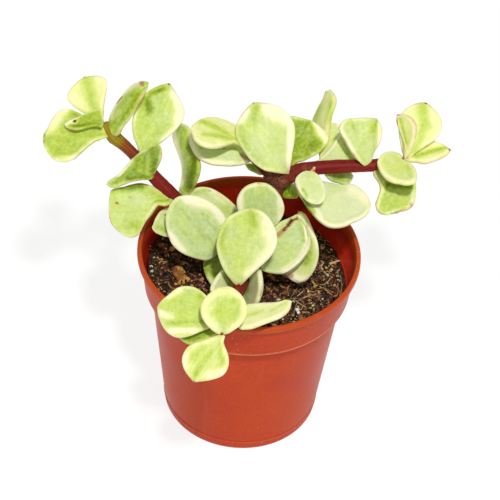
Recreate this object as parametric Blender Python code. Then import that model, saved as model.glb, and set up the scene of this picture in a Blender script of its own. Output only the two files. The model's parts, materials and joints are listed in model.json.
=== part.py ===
"""A small variegated elephant bush in a thin round nursery pot.

The plant is one trunk with five side stems, forty-one fleshy leaves set on them
in pairs, and the potting mix it grows in. Origin: the middle of the pot's base,
+Z up, metres. The numbers below are millimetres and degrees unless they say
otherwise, and heights in the plant's tables are measured from the pot's rim.
"""
import math

import bmesh
import bpy
import numpy as np

for item in list(bpy.data.objects):
    bpy.data.objects.remove(item, do_unlink=True)

MM = 0.001

# ---- pot ------------------------------------------------------------------
POT_HEIGHT = 51.7
BASE_RADIUS = 19.5
BODY_TOP_RADIUS = 24.06      # under the collar
COLLAR_DROP = 10.97          # collar's lower edge below the rim
COLLAR_RADIUS = 25.48        # collar's lower edge
LIP_RADIUS = 27.5
LIP_HEIGHT = 1.7
WALL = 0.75
FLOOR = 1.0
FOOT_HEIGHT = 3.0
POT_SEGMENTS = 60
DRAIN_HOLES = 6
DRAIN_HOLE_RADIUS = 2.2
DRAIN_CIRCLE_RADIUS = 13.5

# ---- potting mix ----------------------------------------------------------
FIT_GAP = 0.35               # kept between touching pieces
SOIL_DROP = 8.3              # mean surface below the rim
SOIL_SLOPE = -0.07           # it lies higher on the left
SOIL_MOUND = 1.3             # heaped round the stems

# ---- leaf -----------------------------------------------------------------
LEAF_THICKNESS = 1.7
LEAF_AROUND = 10
LEAF_ALONG = 10

def soil_height(x, y):
    """Height of the mix's surface above the pot's base."""
    heap = SOIL_MOUND * math.exp(-((x + 1.0) ** 2 + (y - 1.0) ** 2) / (2 * 9.0 ** 2))
    ripple = 0.35 * math.sin(0.45 * x + 0.8) * math.sin(0.4 * y - 0.5)
    return POT_HEIGHT - SOIL_DROP + SOIL_SLOPE * x + heap + ripple


def rooted(x, y, lean=0.0):
    """Height above the rim of a stem's foot that stands on the mix; a leaning stem's foot is raised by lean."""
    return soil_height(x, y) - POT_HEIGHT + FIT_GAP + 0.25 + lean


# stems: points (x, y, height above the rim), and the radius at each point
STEMS = {
    "trunk": ([(2.5, 3.5, rooted(2.5, 3.5)), (2.8, 3.9, -4.0), (3.0, 4.5, -1.0), (3.9, 5.8, 8.0), (5.2, 7.3, 13.6), (5.0, 8.1, 16.2)],
              [2.4, 2.4, 2.35, 2.25, 2.15, 1.95]),
    "stem_left": ([(-2.2, 0.4, rooted(-2.2, 0.4, 0.25)), (-2.6, 0.3, -4.6), (-4.9, 0.3, -0.8), (-9.5, 1.0, 4.5), (-19.0, 3.5, 12.3),
                   (-30.0, 9.0, 21.3), (-34.4, 10.3, 24.8), (-37.1, 11.8, 27.6)], [1.9, 1.9, 1.85, 1.75, 1.6, 1.3, 1.5, 1.0]),
    "stem_right": ([(8.6, 8.2, 18.2), (14.5, 9.0, 20.1), (22.0, 9.8, 20.7), (30.0, 10.6, 21.1), (36.4, 11.2, 22.4)], [1.9, 1.7, 1.6, 1.45, 1.25]),
    "stem_top": ([(2.2, 9.4, 19.0), (0.0, 9.9, 20.6), (-2.4, 9.9, 23.8)], [1.25, 1.0, 0.75]),
    "stem_front": ([(-0.6, -5.0, rooted(-0.6, -5.0, 0.4)), (-0.7, -5.8, -4.9), (-1.0, -8.6, -2.4), (-1.7, -13.5, 0.3), (-3.4, -24.0, 3.7),
                    (-5.2, -33.0, 3.2)], [1.95, 1.9, 1.8, 1.6, 1.4, 1.15]),
    "stem_middle": ([(3.6, -0.6, rooted(3.6, -0.6)), (3.8, -0.8, -5.0), (4.2, -1.2, -1.5)], [1.3, 1.2, 1.0]),
}

# leaves: base point, pointing (azimuth, elevation), upper face (azimuth, elevation),
# length, width, then shape: mid = where the blade is widest, neck = its width at
# the base as a share of the widest, pinch = how slender the base draws in, curl =
# degrees the blade bends up along its length.
LEAVES = {
    "leaf_left_1": ((-38.8, 14.9, 29.6), (125, 33), (-97, 47), 9.3, 9.6, dict(mid=0.62)),
    "leaf_left_2": ((-37.0, 10.2, 25.5), (-176, -6), (-93, 48), 14.6, 12.4, dict(mid=0.6, pinch=1.7)),
    "leaf_left_3": ((-38.4, 11.9, 30.3), (-178, -8), (-110, 70), 9.8, 5.6, dict(mid=0.6)),
    "leaf_left_4": ((-35.4, 10.2, 27.1), (60, 38), (-165, 45), 13.8, 7.3, dict()),
    "leaf_left_5": ((-26.4, 9.7, 21.5), (71, 38), (-82, 48), 17.4, 12.6, dict(mid=0.5)),
    "leaf_left_6": ((-22.6, 6.0, 22.5), (-153, -15), (-91, 60), 14.4, 6.8, dict(mid=0.42)),
    "leaf_left_7": ((-20.4, 1.4, 12.0), (-164, -7), (-84, 53), 14.4, 13.2, dict(mid=0.62)),
    "leaf_left_8": ((-15.4, 6.0, 10.4), (100, 42), (-152, 16), 18.0, 8.5, dict(curl=40)),
    "leaf_top_1": ((-4.4, 8.8, 25.6), (171, 21), (-12, 68), 12.4, 11.0, dict()),
    "leaf_top_2": ((-2.9, 10.1, 19.8), (169, 11), (-78, 62), 13.4, 11.0, dict()),
    "leaf_top_3": ((7.7, 5.1, 20.9), (127, 37), (-91, 44), 18.6, 14.0, dict(mid=0.6)),
    "leaf_top_4": ((9.0, 10.6, 21.6), (39, 33), (-101, 49), 11.2, 11.4, dict()),
    "leaf_top_5": ((15.0, 12.8, 19.0), (83, 24), (-173, 28), 19.0, 6.0, dict(pinch=1.6)),
    "leaf_top_6": ((19.2, 12.9, 18.6), (85, 28), (-89, 60), 11.2, 5.2, dict(pinch=1.6)),
    "leaf_top_7": ((22.6, 13.0, 21.4), (148, 17), (-93, 55), 7.0, 10.0, dict()),
    "leaf_top_8": ((27.0, 8.5, 22.4), (111, 44), (-80, 44), 12.0, 10.2, dict()),
    "leaf_top_9": ((1.6, 11.4, 15.2), (148, 28), (-52, 59), 4.8, 4.6, dict()),
    "leaf_right_1": ((37.5, 12.5, 23.9), (68, 40), (-88, 47), 13.6, 9.8, dict()),
    "leaf_right_2": ((37.0, 10.4, 24.4), (108, 47), (-136, 20), 9.8, 4.6, dict()),
    "leaf_right_3": ((38.1, 12.0, 22.6), (11, 12), (-131, 74), 10.0, 5.8, dict()),
    "leaf_right_4": ((35.7, 9.3, 24.5), (-101, 0), (167, 85), 9.4, 9.8, dict()),
    "leaf_right_5": ((29.9, 9.9, 18.8), (-40, -23), (-78, 61), 12.0, 9.5, dict()),
    "leaf_right_6": ((10.6, 6.3, 15.9), (-16, -7), (-81, 72), 18.8, 12.2, dict()),
    "leaf_right_7": ((10.5, 5.9, 20.9), (-47, -23), (-77, 63), 9.2, 6.4, dict()),
    "leaf_right_8": ((17.2, 11.8, 17.2), (-1, -19), (-7, 70), 7.4, 5.0, dict()),
    "leaf_right_9": ((12.9, 9.4, 14.4), (-168, -21), (-112, 55), 4.2, 4.5, dict()),
    "leaf_middle_1": ((-4.6, -4.6, 2.3), (165, 32), (-75, 37), 18.2, 14.4, dict()),
    "leaf_middle_2": ((-1.7, -14.6, 2.9), (83, 46), (-90, 43), 17.6, 14.8, dict()),
    "leaf_middle_3": ((3.5, 0.0, 6.6), (121, 69), (-83, 18), 12.0, 11.6, dict()),
    "leaf_middle_4": ((-13.4, 7.8, 9.2), (-8, -24), (-68, 46), 12.0, 10.4, dict()),
    "leaf_middle_5": ((-17.6, 2.2, 8.6), (-149, -14), (-83, 57), 8.2, 7.5, dict()),
    "leaf_middle_6": ((2.6, -3.7, 2.1), (9, 16), (-99, 48), 11.8, 14.4, dict()),
    "leaf_middle_7": ((11.8, -6.1, -4.1), (90, 48), (-84, 42), 17.4, 10.5, dict(mid=0.42, neck=0.45, pinch=1.0)),
    "leaf_middle_8": ((-6.6, -1.8, -0.4), (-122, -42), (-106, 44), 7.6, 5.0, dict()),
    "leaf_middle_9": ((-3.7, -9.9, -1.7), (-132, 25), (-24, 33), 7.6, 8.5, dict()),
    "leaf_middle_10": ((1.0, -10.6, -2.3), (-57, 34), (-162, 20), 6.2, 8.8, dict()),
    "leaf_front_1": ((-6.0, -29.2, 4.7), (174, 8), (-85, 48), 15.0, 12.2, dict()),
    "leaf_front_2": ((-4.9, -34.2, 5.2), (92, 49), (-89, 40), 10.8, 11.0, dict()),
    "leaf_front_3": ((-1.6, -28.9, 3.0), (26, 7), (-179, 81), 14.4, 8.5, dict(mid=0.38, neck=0.3, pinch=1.0)),
    "leaf_front_4": ((-5.3, -35.0, 3.4), (-130, -44), (-96, 40), 11.2, 11.0, dict()),
    "leaf_front_5": ((-5.4, -28.3, 2.3), (-167, -17), (-164, 69), 10.4, 7.2, dict()),
}

# loose bits on the mix: middle (x, y), length, width, height, turn, tilt
CHIPS = {
    "bark_chip_1": ((-16.2, -4.0), 5.0, 3.0, 1.6, -50, 14),
    "bark_chip_2": ((-20.9, -0.4), 3.2, 1.5, 1.1, 15, 8),
    "bark_chip_3": ((6.9, -1.9), 2.6, 1.2, 1.1, -40, 10),
    "perlite_1": ((12.7, -11.2), 2.2, 1.5, 1.3, -50, 0),
    "perlite_2": ((7.9, -8.4), 1.5, 1.2, 1.1, 20, 0),
    "perlite_3": ((11.9, -15.2), 1.2, 1.1, 1.0, 40, 0),
}


def material(name, colour, roughness, metallic=0.0):
    mat = bpy.data.materials.new(name)
    mat.use_nodes = True
    shader = mat.node_tree.nodes["Principled BSDF"]
    shader.inputs["Base Color"].default_value = (*colour, 1.0)
    shader.inputs["Roughness"].default_value = roughness
    shader.inputs["Metallic"].default_value = metallic
    mat.diffuse_color = (*colour, 1.0)
    return mat


def place(mesh, name, mat):
    piece = bpy.data.objects.new(name, mesh)
    bpy.context.scene.collection.objects.link(piece)
    mesh.materials.append(mat)
    mesh.shade_smooth()
    return piece


def heading(azimuth, elevation):
    a, e = math.radians(azimuth), math.radians(elevation)
    return np.array([math.cos(a) * math.cos(e), math.sin(a) * math.cos(e), math.sin(e)])


def rings_to_solid(name, layers):
    """Joins rings of points, the first and last closed by a fan to a middle point, into one closed mesh."""
    shape = bmesh.new()
    rows = [[shape.verts.new([c * MM for c in p]) for p in layer] for layer in layers]
    for low, high in zip(rows, rows[1:]):
        if len(low) == 1 or len(high) == 1:
            tip, ring = (low[0], high) if len(low) == 1 else (high[0], low)
            for k in range(len(ring)):
                pair = (ring[k], ring[(k + 1) % len(ring)])
                shape.faces.new((tip, *reversed(pair)) if len(low) == 1 else (tip, *pair))
        else:
            for k in range(len(low)):
                n = (k + 1) % len(low)
                shape.faces.new((low[k], low[n], high[n], high[k]))
    mesh = bpy.data.meshes.new(name)
    shape.to_mesh(mesh)
    shape.free()
    return mesh


def turned(name, profile, segments):
    """A closed solid of revolution; the profile runs from the axis, out and up the outside and back to it."""
    layers = []
    for r, z in profile:
        if r == 0:
            layers.append([(0.0, 0.0, z)])
        else:
            layers.append([(r * math.cos(2 * math.pi * k / segments), r * math.sin(2 * math.pi * k / segments), z)
                           for k in range(segments)])
    return rings_to_solid(name, layers)


def blade_outline(s, mid, neck, pinch, point):
    """Half-width of the blade at s, from 0 at the base to 1 at the tip, as a share of the widest."""
    if s < mid:
        return neck + (1 - neck) * math.sin(math.pi / 2 * s / mid) ** pinch
    return math.sqrt(max(0.0, 1 - ((s - mid) / (1 - mid)) ** point))


def smooth_path(points, count):
    """Points along a smooth curve through the given ones."""
    p = [np.array(q, float) for q in points]
    p = [2 * p[0] - p[1]] + p + [2 * p[-1] - p[-2]]
    spans = len(p) - 3
    path = []
    for k in range(count):
        u = spans * k / (count - 1)
        i = min(int(u), spans - 1)
        t = u - i
        a, b, c, d = p[i:i + 4]
        path.append(0.5 * (2 * b + (c - a) * t + (2 * a - 5 * b + 4 * c - d) * t * t + (3 * b - a - 3 * c + d) * t ** 3))
    return path


def radius_at(radii, t):
    """A stem's radius at t, from 0 at its foot to 1 at its end."""
    return float(np.interp(t * (len(radii) - 1), range(len(radii)), radii))


def stalk_reach(root):
    """From a blade's root to just clear of the nearest stem: the leaf's short stalk covers it."""
    best = None
    for name, (points, radii) in STEMS.items():
        path = smooth_path(points, 60)
        for k, q in enumerate(path):
            radius = 1.03 * radius_at(radii, k / 59)
            away = root - (q + (0, 0, POT_HEIGHT))
            gap = np.linalg.norm(away) - radius
            if best is None or gap < best[0]:
                best = (gap, away / np.linalg.norm(away))
    return -best[1] * (best[0] - FIT_GAP - 0.25)


def leaf(name, base, pointing, face, length, width, mat,
         mid=0.58, neck=0.14, pinch=1.4, point=2.3, curl=0.0, thickness=LEAF_THICKNESS):
    """A fleshy blade: a sphere drawn out along its axis into the leaf's outline."""
    shape = bmesh.new()
    bmesh.ops.create_uvsphere(shape, u_segments=LEAF_AROUND, v_segments=LEAF_ALONG, radius=1.0)
    along = heading(*pointing)
    up = heading(*face)
    up = up - up.dot(along) * along
    up /= np.linalg.norm(up)
    side = np.cross(up, along)
    root = np.array(base) + (0, 0, POT_HEIGHT)
    stalk = stalk_reach(root)
    bend = math.radians(curl)
    for v in shape.verts:
        x, y, z = v.co
        ring = math.hypot(x, y)
        s = (1 + z) / 2
        half = width / 2 * blade_outline(s, mid, neck, pinch, point) * min(1.0, ring / 0.35)
        if abs(bend) > 1e-6:
            radius = length / (2 * math.sin(bend / 2))
            turn = bend * (s - 0.5)
            run = length / 2 + radius * math.sin(turn)
            rise = radius * (math.cos(bend / 2) - math.cos(turn))
            tangent = math.cos(turn) * along + math.sin(turn) * up
            normal = -math.sin(turn) * along + math.cos(turn) * up
        else:
            run, rise, tangent, normal = length * s, 0.0, along, up
        point_on_axis = root + run * along + rise * up + stalk * max(0.0, 1 - s / 0.2) ** 2
        if ring > 1e-6:
            c, d = x / ring, y / ring
            fat = thickness / 2 * (0.5 + 0.5 * math.sin(math.pi * s) ** 0.6) * min(1.0, (half / (0.13 * width)) ** 0.7)
            point_on_axis = point_on_axis + side * half * c + normal * fat * math.copysign(abs(d) ** 0.75, d)
        v.co = point_on_axis * MM
    mesh = bpy.data.meshes.new(name)
    shape.to_mesh(mesh)
    shape.free()
    return place(mesh, name, mat)


def stem(name, points, radii, mat, count):
    """A round stem as a bevelled curve with slight swellings where leaves join."""
    path = smooth_path(points, count)
    curve = bpy.data.curves.new(name, "CURVE")
    curve.dimensions = "3D"
    curve.bevel_depth = MM
    curve.bevel_resolution = 2
    curve.use_fill_caps = True
    spline = curve.splines.new("POLY")
    spline.points.add(count - 1)
    for k, (point, q) in enumerate(zip(spline.points, path)):
        t = k / (count - 1)
        point.co = (q[0] * MM, q[1] * MM, (q[2] + POT_HEIGHT) * MM, 1.0)
        point.radius = radius_at(radii, t) * (1.0 + 0.03 * math.cos(2 * math.pi * 3 * t))
    piece = bpy.data.objects.new(name, curve)
    bpy.context.scene.collection.objects.link(piece)
    curve.materials.append(mat)
    return piece


def chip(name, middle, length, width, height, turn, tilt, mat):
    """A rough crumb lying on the mix."""
    shape = bmesh.new()
    bmesh.ops.create_icosphere(shape, subdivisions=1, radius=0.5)
    a, b = math.radians(turn), math.radians(tilt)
    for v in shape.verts:
        x, y, z = v.co
        rough = 1 + 0.14 * math.sin(9.0 * x + 5.0 * y + 3.0 * z + turn)
        x, y, z = x * length * rough, y * width * rough, z * height * rough
        x, z = x * math.cos(b) - z * math.sin(b), x * math.sin(b) + z * math.cos(b)
        v.co = (x * math.cos(a) - y * math.sin(a), x * math.sin(a) + y * math.cos(a), z)
    lift = max(soil_height(middle[0] + v.co.x, middle[1] + v.co.y) - v.co.z
               for v in shape.verts if v.co.z < 0) + FIT_GAP
    for v in shape.verts:
        v.co = ((middle[0] + v.co.x) * MM, (middle[1] + v.co.y) * MM, (v.co.z + lift) * MM)
    bmesh.ops.recalc_face_normals(shape, faces=shape.faces)
    mesh = bpy.data.meshes.new(name)
    shape.to_mesh(mesh)
    shape.free()
    return place(mesh, name, mat)


plastic = material("terracotta_plastic", (0.50, 0.10, 0.045), 0.42)
mix = material("potting_mix", (0.035, 0.02, 0.013), 0.95)
bark = material("bark", (0.35, 0.16, 0.06), 0.9)
stone = material("perlite", (0.82, 0.80, 0.74), 0.85)
woody = material("woody_stem", (0.16, 0.06, 0.04), 0.75)
maroon = material("maroon_stem", (0.17, 0.02, 0.022), 0.45)
blade = material("variegated_leaf", (0.55, 0.65, 0.22), 0.42)

# ---- pot: one thin turned shell, with drain holes cut through its floor ------
top = POT_HEIGHT
collar_z = top - COLLAR_DROP
foot_radius = BASE_RADIUS + (BODY_TOP_RADIUS - BASE_RADIUS) * FOOT_HEIGHT / collar_z
pot_profile = [
    (0.0, 0.0), (BASE_RADIUS - 0.5, 0.0), (BASE_RADIUS, 0.5), (foot_radius + 0.12, FOOT_HEIGHT - 0.3),
    (foot_radius - 0.12, FOOT_HEIGHT),
    (BODY_TOP_RADIUS, collar_z - 0.4), (BODY_TOP_RADIUS + 0.3, collar_z), (COLLAR_RADIUS - 0.35, collar_z),
    (COLLAR_RADIUS, collar_z + 0.35), (LIP_RADIUS - 0.47, top - LIP_HEIGHT), (LIP_RADIUS, top - LIP_HEIGHT + 0.35),
    (LIP_RADIUS, top - 0.55), (LIP_RADIUS - 0.5, top), (LIP_RADIUS - 0.9, top), (LIP_RADIUS - 1.25, top - 0.45),
    (LIP_RADIUS - 1.4, top - LIP_HEIGHT),
    (COLLAR_RADIUS - WALL, collar_z + 1.0), (COLLAR_RADIUS - WALL - 0.5, collar_z + 0.45),
    (BODY_TOP_RADIUS - WALL, collar_z + 0.1), (BASE_RADIUS - WALL + 0.1, FLOOR + 0.5), (BASE_RADIUS - WALL - 0.4, FLOOR),
    (0.0, FLOOR),
]
pot = place(turned("pot", pot_profile, POT_SEGMENTS), "pot", plastic)
pot.data.set_sharp_from_angle(angle=math.radians(32))
for k in range(DRAIN_HOLES):
    angle = 2 * math.pi * (k + 0.5) / DRAIN_HOLES
    tool_mesh = turned(f"drain_cutter_{k}", [(0.0, -1.0), (DRAIN_HOLE_RADIUS, -1.0), (DRAIN_HOLE_RADIUS, FLOOR + 1.0), (0.0, FLOOR + 1.0)], 12)
    tool = bpy.data.objects.new(f"drain_cutter_{k}", tool_mesh)
    bpy.context.scene.collection.objects.link(tool)
    tool.location = (DRAIN_CIRCLE_RADIUS * math.cos(angle) * MM, DRAIN_CIRCLE_RADIUS * math.sin(angle) * MM, 0.0)
    tool.hide_render = True
    tool.display_type = "WIRE"
    cut = pot.modifiers.new(f"drain_{k}", "BOOLEAN")
    cut.operation = "DIFFERENCE"
    cut.object = tool

# ---- potting mix: fills the pot up to its uneven surface --------------------
rings = [(BASE_RADIUS - WALL - 0.75, FLOOR + FIT_GAP), (BASE_RADIUS - WALL - 0.2, FLOOR + FIT_GAP + 0.6),
         (BODY_TOP_RADIUS - WALL - FIT_GAP - 0.02, collar_z - 0.1), (COLLAR_RADIUS - WALL - FIT_GAP - 0.55, collar_z + 0.9)]
layers = [[(0.0, 0.0, FLOOR + FIT_GAP)]]
for r, z in rings:
    layers.append([(r * math.cos(2 * math.pi * k / POT_SEGMENTS), r * math.sin(2 * math.pi * k / POT_SEGMENTS), z)
                   for k in range(POT_SEGMENTS)])
for r in (24.4, 18.0, 12.0, 6.0):
    layers.append([])
    for k in range(POT_SEGMENTS):
        x, y = r * math.cos(2 * math.pi * k / POT_SEGMENTS), r * math.sin(2 * math.pi * k / POT_SEGMENTS)
        layers[-1].append((x, y, soil_height(x, y)))
layers.append([(0.0, 0.0, soil_height(0.0, 0.0))])
soil_mesh = rings_to_solid("soil", layers)
soil = place(soil_mesh, "soil", mix)
soil.data.set_sharp_from_angle(angle=math.radians(40))

# ---- plant -------------------------------------------------------------------
for name, (points, radii) in STEMS.items():
    stem(name, points, radii, woody if name == "trunk" else maroon, 5 if name == "stem_middle" else 16)
for name, (base, pointing, face, length, width, options) in LEAVES.items():
    leaf(name, base, pointing, face, length, width, blade, **options)
for name, (middle, length, width, height, turn, tilt) in CHIPS.items():
    chip(name, middle, length, width, height, turn, tilt, stone if name.startswith("perlite") else bark)
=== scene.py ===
"""Looks of a small variegated elephant bush in its nursery pot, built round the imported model.

The finely modelled leaves, stems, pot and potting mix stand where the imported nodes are. Lengths
in the tables are millimetres, angles are degrees, and heights in the plant's tables are measured
from the pot's rim.
"""
import json
import math

import bpy
import numpy as np
from mathutils import Matrix, Vector

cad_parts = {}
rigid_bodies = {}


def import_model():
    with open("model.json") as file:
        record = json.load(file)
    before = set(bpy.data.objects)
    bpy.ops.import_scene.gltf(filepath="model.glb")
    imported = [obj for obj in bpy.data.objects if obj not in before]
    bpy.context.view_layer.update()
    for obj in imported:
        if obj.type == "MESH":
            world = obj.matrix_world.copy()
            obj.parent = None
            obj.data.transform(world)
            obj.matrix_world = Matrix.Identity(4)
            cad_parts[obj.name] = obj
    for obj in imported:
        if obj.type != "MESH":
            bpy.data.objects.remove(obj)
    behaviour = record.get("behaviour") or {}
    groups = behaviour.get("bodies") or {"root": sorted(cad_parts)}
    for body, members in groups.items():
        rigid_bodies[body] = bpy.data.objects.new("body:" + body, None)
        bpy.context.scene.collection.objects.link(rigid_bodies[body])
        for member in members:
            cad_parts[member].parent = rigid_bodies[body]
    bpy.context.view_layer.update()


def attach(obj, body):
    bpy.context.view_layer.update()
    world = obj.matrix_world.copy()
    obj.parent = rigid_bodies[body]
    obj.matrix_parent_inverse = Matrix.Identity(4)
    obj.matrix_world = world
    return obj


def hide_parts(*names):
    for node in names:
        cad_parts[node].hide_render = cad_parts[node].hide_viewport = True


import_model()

MM = 0.001
POT_HEIGHT = 51.7
BASE_RADIUS = 19.5
BODY_TOP_RADIUS = 24.06
COLLAR_DROP = 10.97
COLLAR_RADIUS = 25.48
LIP_RADIUS = 27.5
LIP_HEIGHT = 1.7
WALL = 0.75
FLOOR = 1.0
FOOT_HEIGHT = 3.0
DRAIN_HOLES = 6
DRAIN_HOLE_RADIUS = 2.2
DRAIN_CIRCLE_RADIUS = 13.5
FIT_GAP = 0.35
SOIL_DROP = 8.3
SOIL_SLOPE = -0.07
SOIL_MOUND = 1.3
LEAF_THICKNESS = 1.7


# ---- the camera, by which the outlines in the plant's tables are read -----------
ELEVATION, ROLL, DISTANCE, FOCAL = math.radians(43.54), math.radians(3.83), 540.0, 2200.0
CENTRE = np.array([249.3, 249.8])
BACK = np.array([0.0, -math.cos(ELEVATION), math.sin(ELEVATION)])
UPWARD = np.array([0.0, math.sin(ELEVATION), math.cos(ELEVATION)])
X_AXIS = math.cos(ROLL) * np.array([1.0, 0.0, 0.0]) + math.sin(ROLL) * UPWARD
Y_AXIS = -math.sin(ROLL) * np.array([1.0, 0.0, 0.0]) + math.cos(ROLL) * UPWARD
EYE = np.array([0.0, 0.0, POT_HEIGHT]) + DISTANCE * BACK


def rays(p):
    """Ways from the eye through picture points p."""
    q = (np.asarray(p, float) - CENTRE) / FOCAL
    return q[..., :1] * X_AXIS - q[..., 1:] * Y_AXIS - BACK


# ---- the plant's layout, as in the solid model ------------------------------
def soil_height(x, y):
    """Height of the mix's surface above the pot's base."""
    heap = SOIL_MOUND * np.exp(-((x + 1.0) ** 2 + (y - 1.0) ** 2) / (2 * 9.0 ** 2))
    ripple = 0.35 * np.sin(0.45 * x + 0.8) * np.sin(0.4 * y - 0.5)
    return POT_HEIGHT - SOIL_DROP + SOIL_SLOPE * x + heap + ripple


def rooted(x, y, lean=0.0):
    """Height above the rim of a stem's foot, here sunk a little into the mix."""
    return float(soil_height(x, y)) - POT_HEIGHT - 1.0


# points (x, y, height above the rim) and the radius at each
STEMS = {
    "trunk": ([(2.5, 3.5, rooted(2.5, 3.5)), (2.8, 3.9, -4.0), (3.0, 4.5, -1.0), (3.9, 5.8, 8.0), (5.2, 7.3, 13.6), (4.8, 8.2, 16.4), (2.6, 8.9, 17.6)],
              [2.4, 2.4, 2.35, 2.25, 2.15, 1.95, 1.5]),
    "stem_left": ([(-2.2, 0.4, rooted(-2.2, 0.4)), (-2.6, 0.3, -4.6), (-4.9, 0.3, -0.8), (-9.5, 1.0, 4.5), (-19.0, 3.5, 12.3),
                   (-30.0, 9.0, 21.3), (-34.4, 10.3, 24.8), (-37.1, 11.8, 27.6)], [1.9, 1.9, 1.9, 1.9, 1.8, 1.4, 1.72, 1.1]),
    "stem_right": ([(5.2, 7.7, 15.2), (9.6, 8.4, 18.6), (14.5, 9.0, 20.1), (22.0, 9.8, 20.7), (30.0, 10.6, 21.1), (36.4, 11.2, 22.4)],
                   [2.0, 2.0, 1.7, 1.62, 1.5, 1.3]),
    "stem_top": ([(4.4, 8.6, 17.0), (2.2, 9.3, 18.6), (0.0, 9.9, 20.4), (-2.4, 9.9, 23.8)], [1.4, 1.25, 1.0, 0.75]),
    "stem_front": ([(-0.6, -5.0, rooted(-0.6, -5.0)), (-0.7, -5.8, -4.9), (-1.0, -8.6, -2.4), (-1.7, -13.5, 0.3), (-3.4, -24.0, 3.7),
                    (-5.2, -33.0, 3.2)], [1.95, 1.9, 1.8, 1.65, 1.45, 1.15]),
    "stem_middle": ([(3.6, -0.6, rooted(3.6, -0.6)), (3.8, -0.8, -5.0), (4.2, -1.2, -1.5)], [1.3, 1.2, 1.0]),
}

# base point, pointing (azimuth, elevation), upper face (azimuth, elevation), length, width
LEAVES = {
    "leaf_left_1": ((-38.8, 14.9, 29.6), (125, 33), (-97, 47), 9.3, 9.6),
    "leaf_left_2": ((-37.0, 9.6, 26.1), (-176, -6), (-93, 48), 14.6, 12.4),
    "leaf_left_3": ((-38.4, 12.3, 29.9), (-178, -8), (-110, 70), 9.8, 5.6),
    "leaf_left_4": ((-35.4, 10.2, 27.1), (60, 38), (-165, 45), 13.8, 7.3),
    "leaf_left_5": ((-26.4, 9.7, 21.5), (71, 38), (-82, 48), 17.4, 12.6),
    "leaf_left_6": ((-22.6, 6.0, 22.5), (-153, -15), (-91, 60), 14.4, 6.8),
    "leaf_left_7": ((-20.4, 1.4, 12.0), (-164, -7), (-84, 53), 14.4, 13.2),
    "leaf_left_8": ((-15.4, 6.0, 10.4), (100, 42), (-152, 16), 18.0, 8.5),
    "leaf_top_1": ((-4.4, 8.8, 25.6), (171, 21), (-12, 68), 12.4, 11.0),
    "leaf_top_2": ((-2.9, 10.1, 19.8), (169, 11), (-78, 62), 13.4, 11.0),
    "leaf_top_3": ((7.7, 5.1, 20.9), (127, 37), (-91, 44), 18.6, 14.0),
    "leaf_top_4": ((9.0, 10.6, 21.6), (39, 33), (-101, 49), 11.2, 11.4),
    "leaf_top_5": ((15.0, 12.8, 19.0), (83, 24), (-173, 28), 19.0, 6.0),
    "leaf_top_6": ((19.2, 12.9, 18.6), (85, 28), (-89, 60), 11.2, 5.2),
    "leaf_top_7": ((22.6, 13.0, 21.4), (148, 17), (-93, 55), 7.0, 10.0),
    "leaf_top_8": ((27.0, 8.5, 22.4), (111, 44), (-80, 44), 12.0, 10.2),
    "leaf_top_9": ((1.6, 11.4, 15.2), (148, 28), (-52, 59), 4.8, 4.6),
    "leaf_right_1": ((37.5, 12.5, 23.9), (68, 40), (-88, 47), 13.6, 9.8),
    "leaf_right_2": ((37.0, 10.4, 24.4), (108, 47), (-136, 20), 9.8, 4.6),
    "leaf_right_3": ((38.1, 12.0, 22.6), (11, 12), (-131, 74), 10.0, 5.8),
    "leaf_right_4": ((35.7, 10.0, 23.8), (-101, 0), (167, 85), 9.4, 9.8),
    "leaf_right_5": ((29.9, 8.8, 19.8), (-40, -23), (-78, 61), 12.0, 9.5),
    "leaf_right_6": ((10.6, 6.3, 15.9), (-16, -7), (-81, 72), 18.8, 12.2),
    "leaf_right_7": ((10.5, 5.9, 20.9), (-47, -23), (-77, 63), 9.2, 6.4),
    "leaf_right_8": ((17.2, 11.8, 17.2), (-1, -19), (-7, 70), 7.4, 5.0),
    "leaf_right_9": ((12.9, 9.4, 14.4), (-168, -21), (-112, 55), 4.2, 4.5),
    "leaf_middle_1": ((-4.6, -4.6, 2.3), (165, 32), (-75, 37), 18.2, 14.4),
    "leaf_middle_2": ((-1.7, -14.6, 2.9), (83, 46), (-90, 43), 17.6, 14.8),
    "leaf_middle_3": ((3.5, 0.0, 6.6), (121, 69), (-83, 18), 12.0, 11.6),
    "leaf_middle_4": ((-13.4, 7.8, 9.2), (-8, -24), (-68, 46), 12.0, 10.4),
    "leaf_middle_5": ((-17.6, 2.2, 8.6), (-149, -14), (-83, 57), 8.2, 7.5),
    "leaf_middle_6": ((2.6, -3.7, 2.1), (9, 16), (-99, 48), 11.8, 14.4),
    "leaf_middle_7": ((11.8, -6.1, -4.1), (90, 48), (-84, 42), 17.4, 10.5),
    "leaf_middle_8": ((-6.6, -1.8, -0.4), (-122, -42), (-106, 44), 7.6, 5.0),
    "leaf_middle_9": ((-3.7, -9.9, -1.7), (-132, 25), (-24, 33), 7.6, 8.5),
    "leaf_middle_10": ((1.0, -10.6, -2.3), (-57, 34), (-162, 20), 6.2, 8.8),
    "leaf_front_1": ((-6.0, -29.2, 4.7), (174, 8), (-85, 48), 15.0, 12.2),
    "leaf_front_2": ((-4.9, -34.2, 5.2), (92, 49), (-89, 40), 10.8, 11.0),
    "leaf_front_3": ((-1.6, -28.9, 3.0), (26, 7), (-179, 81), 14.4, 8.5),
    "leaf_front_4": ((-5.3, -35.0, 3.4), (-130, -44), (-96, 40), 11.2, 11.0),
    "leaf_front_5": ((-5.4, -28.3, 2.3), (-167, -17), (-164, 69), 10.4, 7.2),
}

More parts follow.
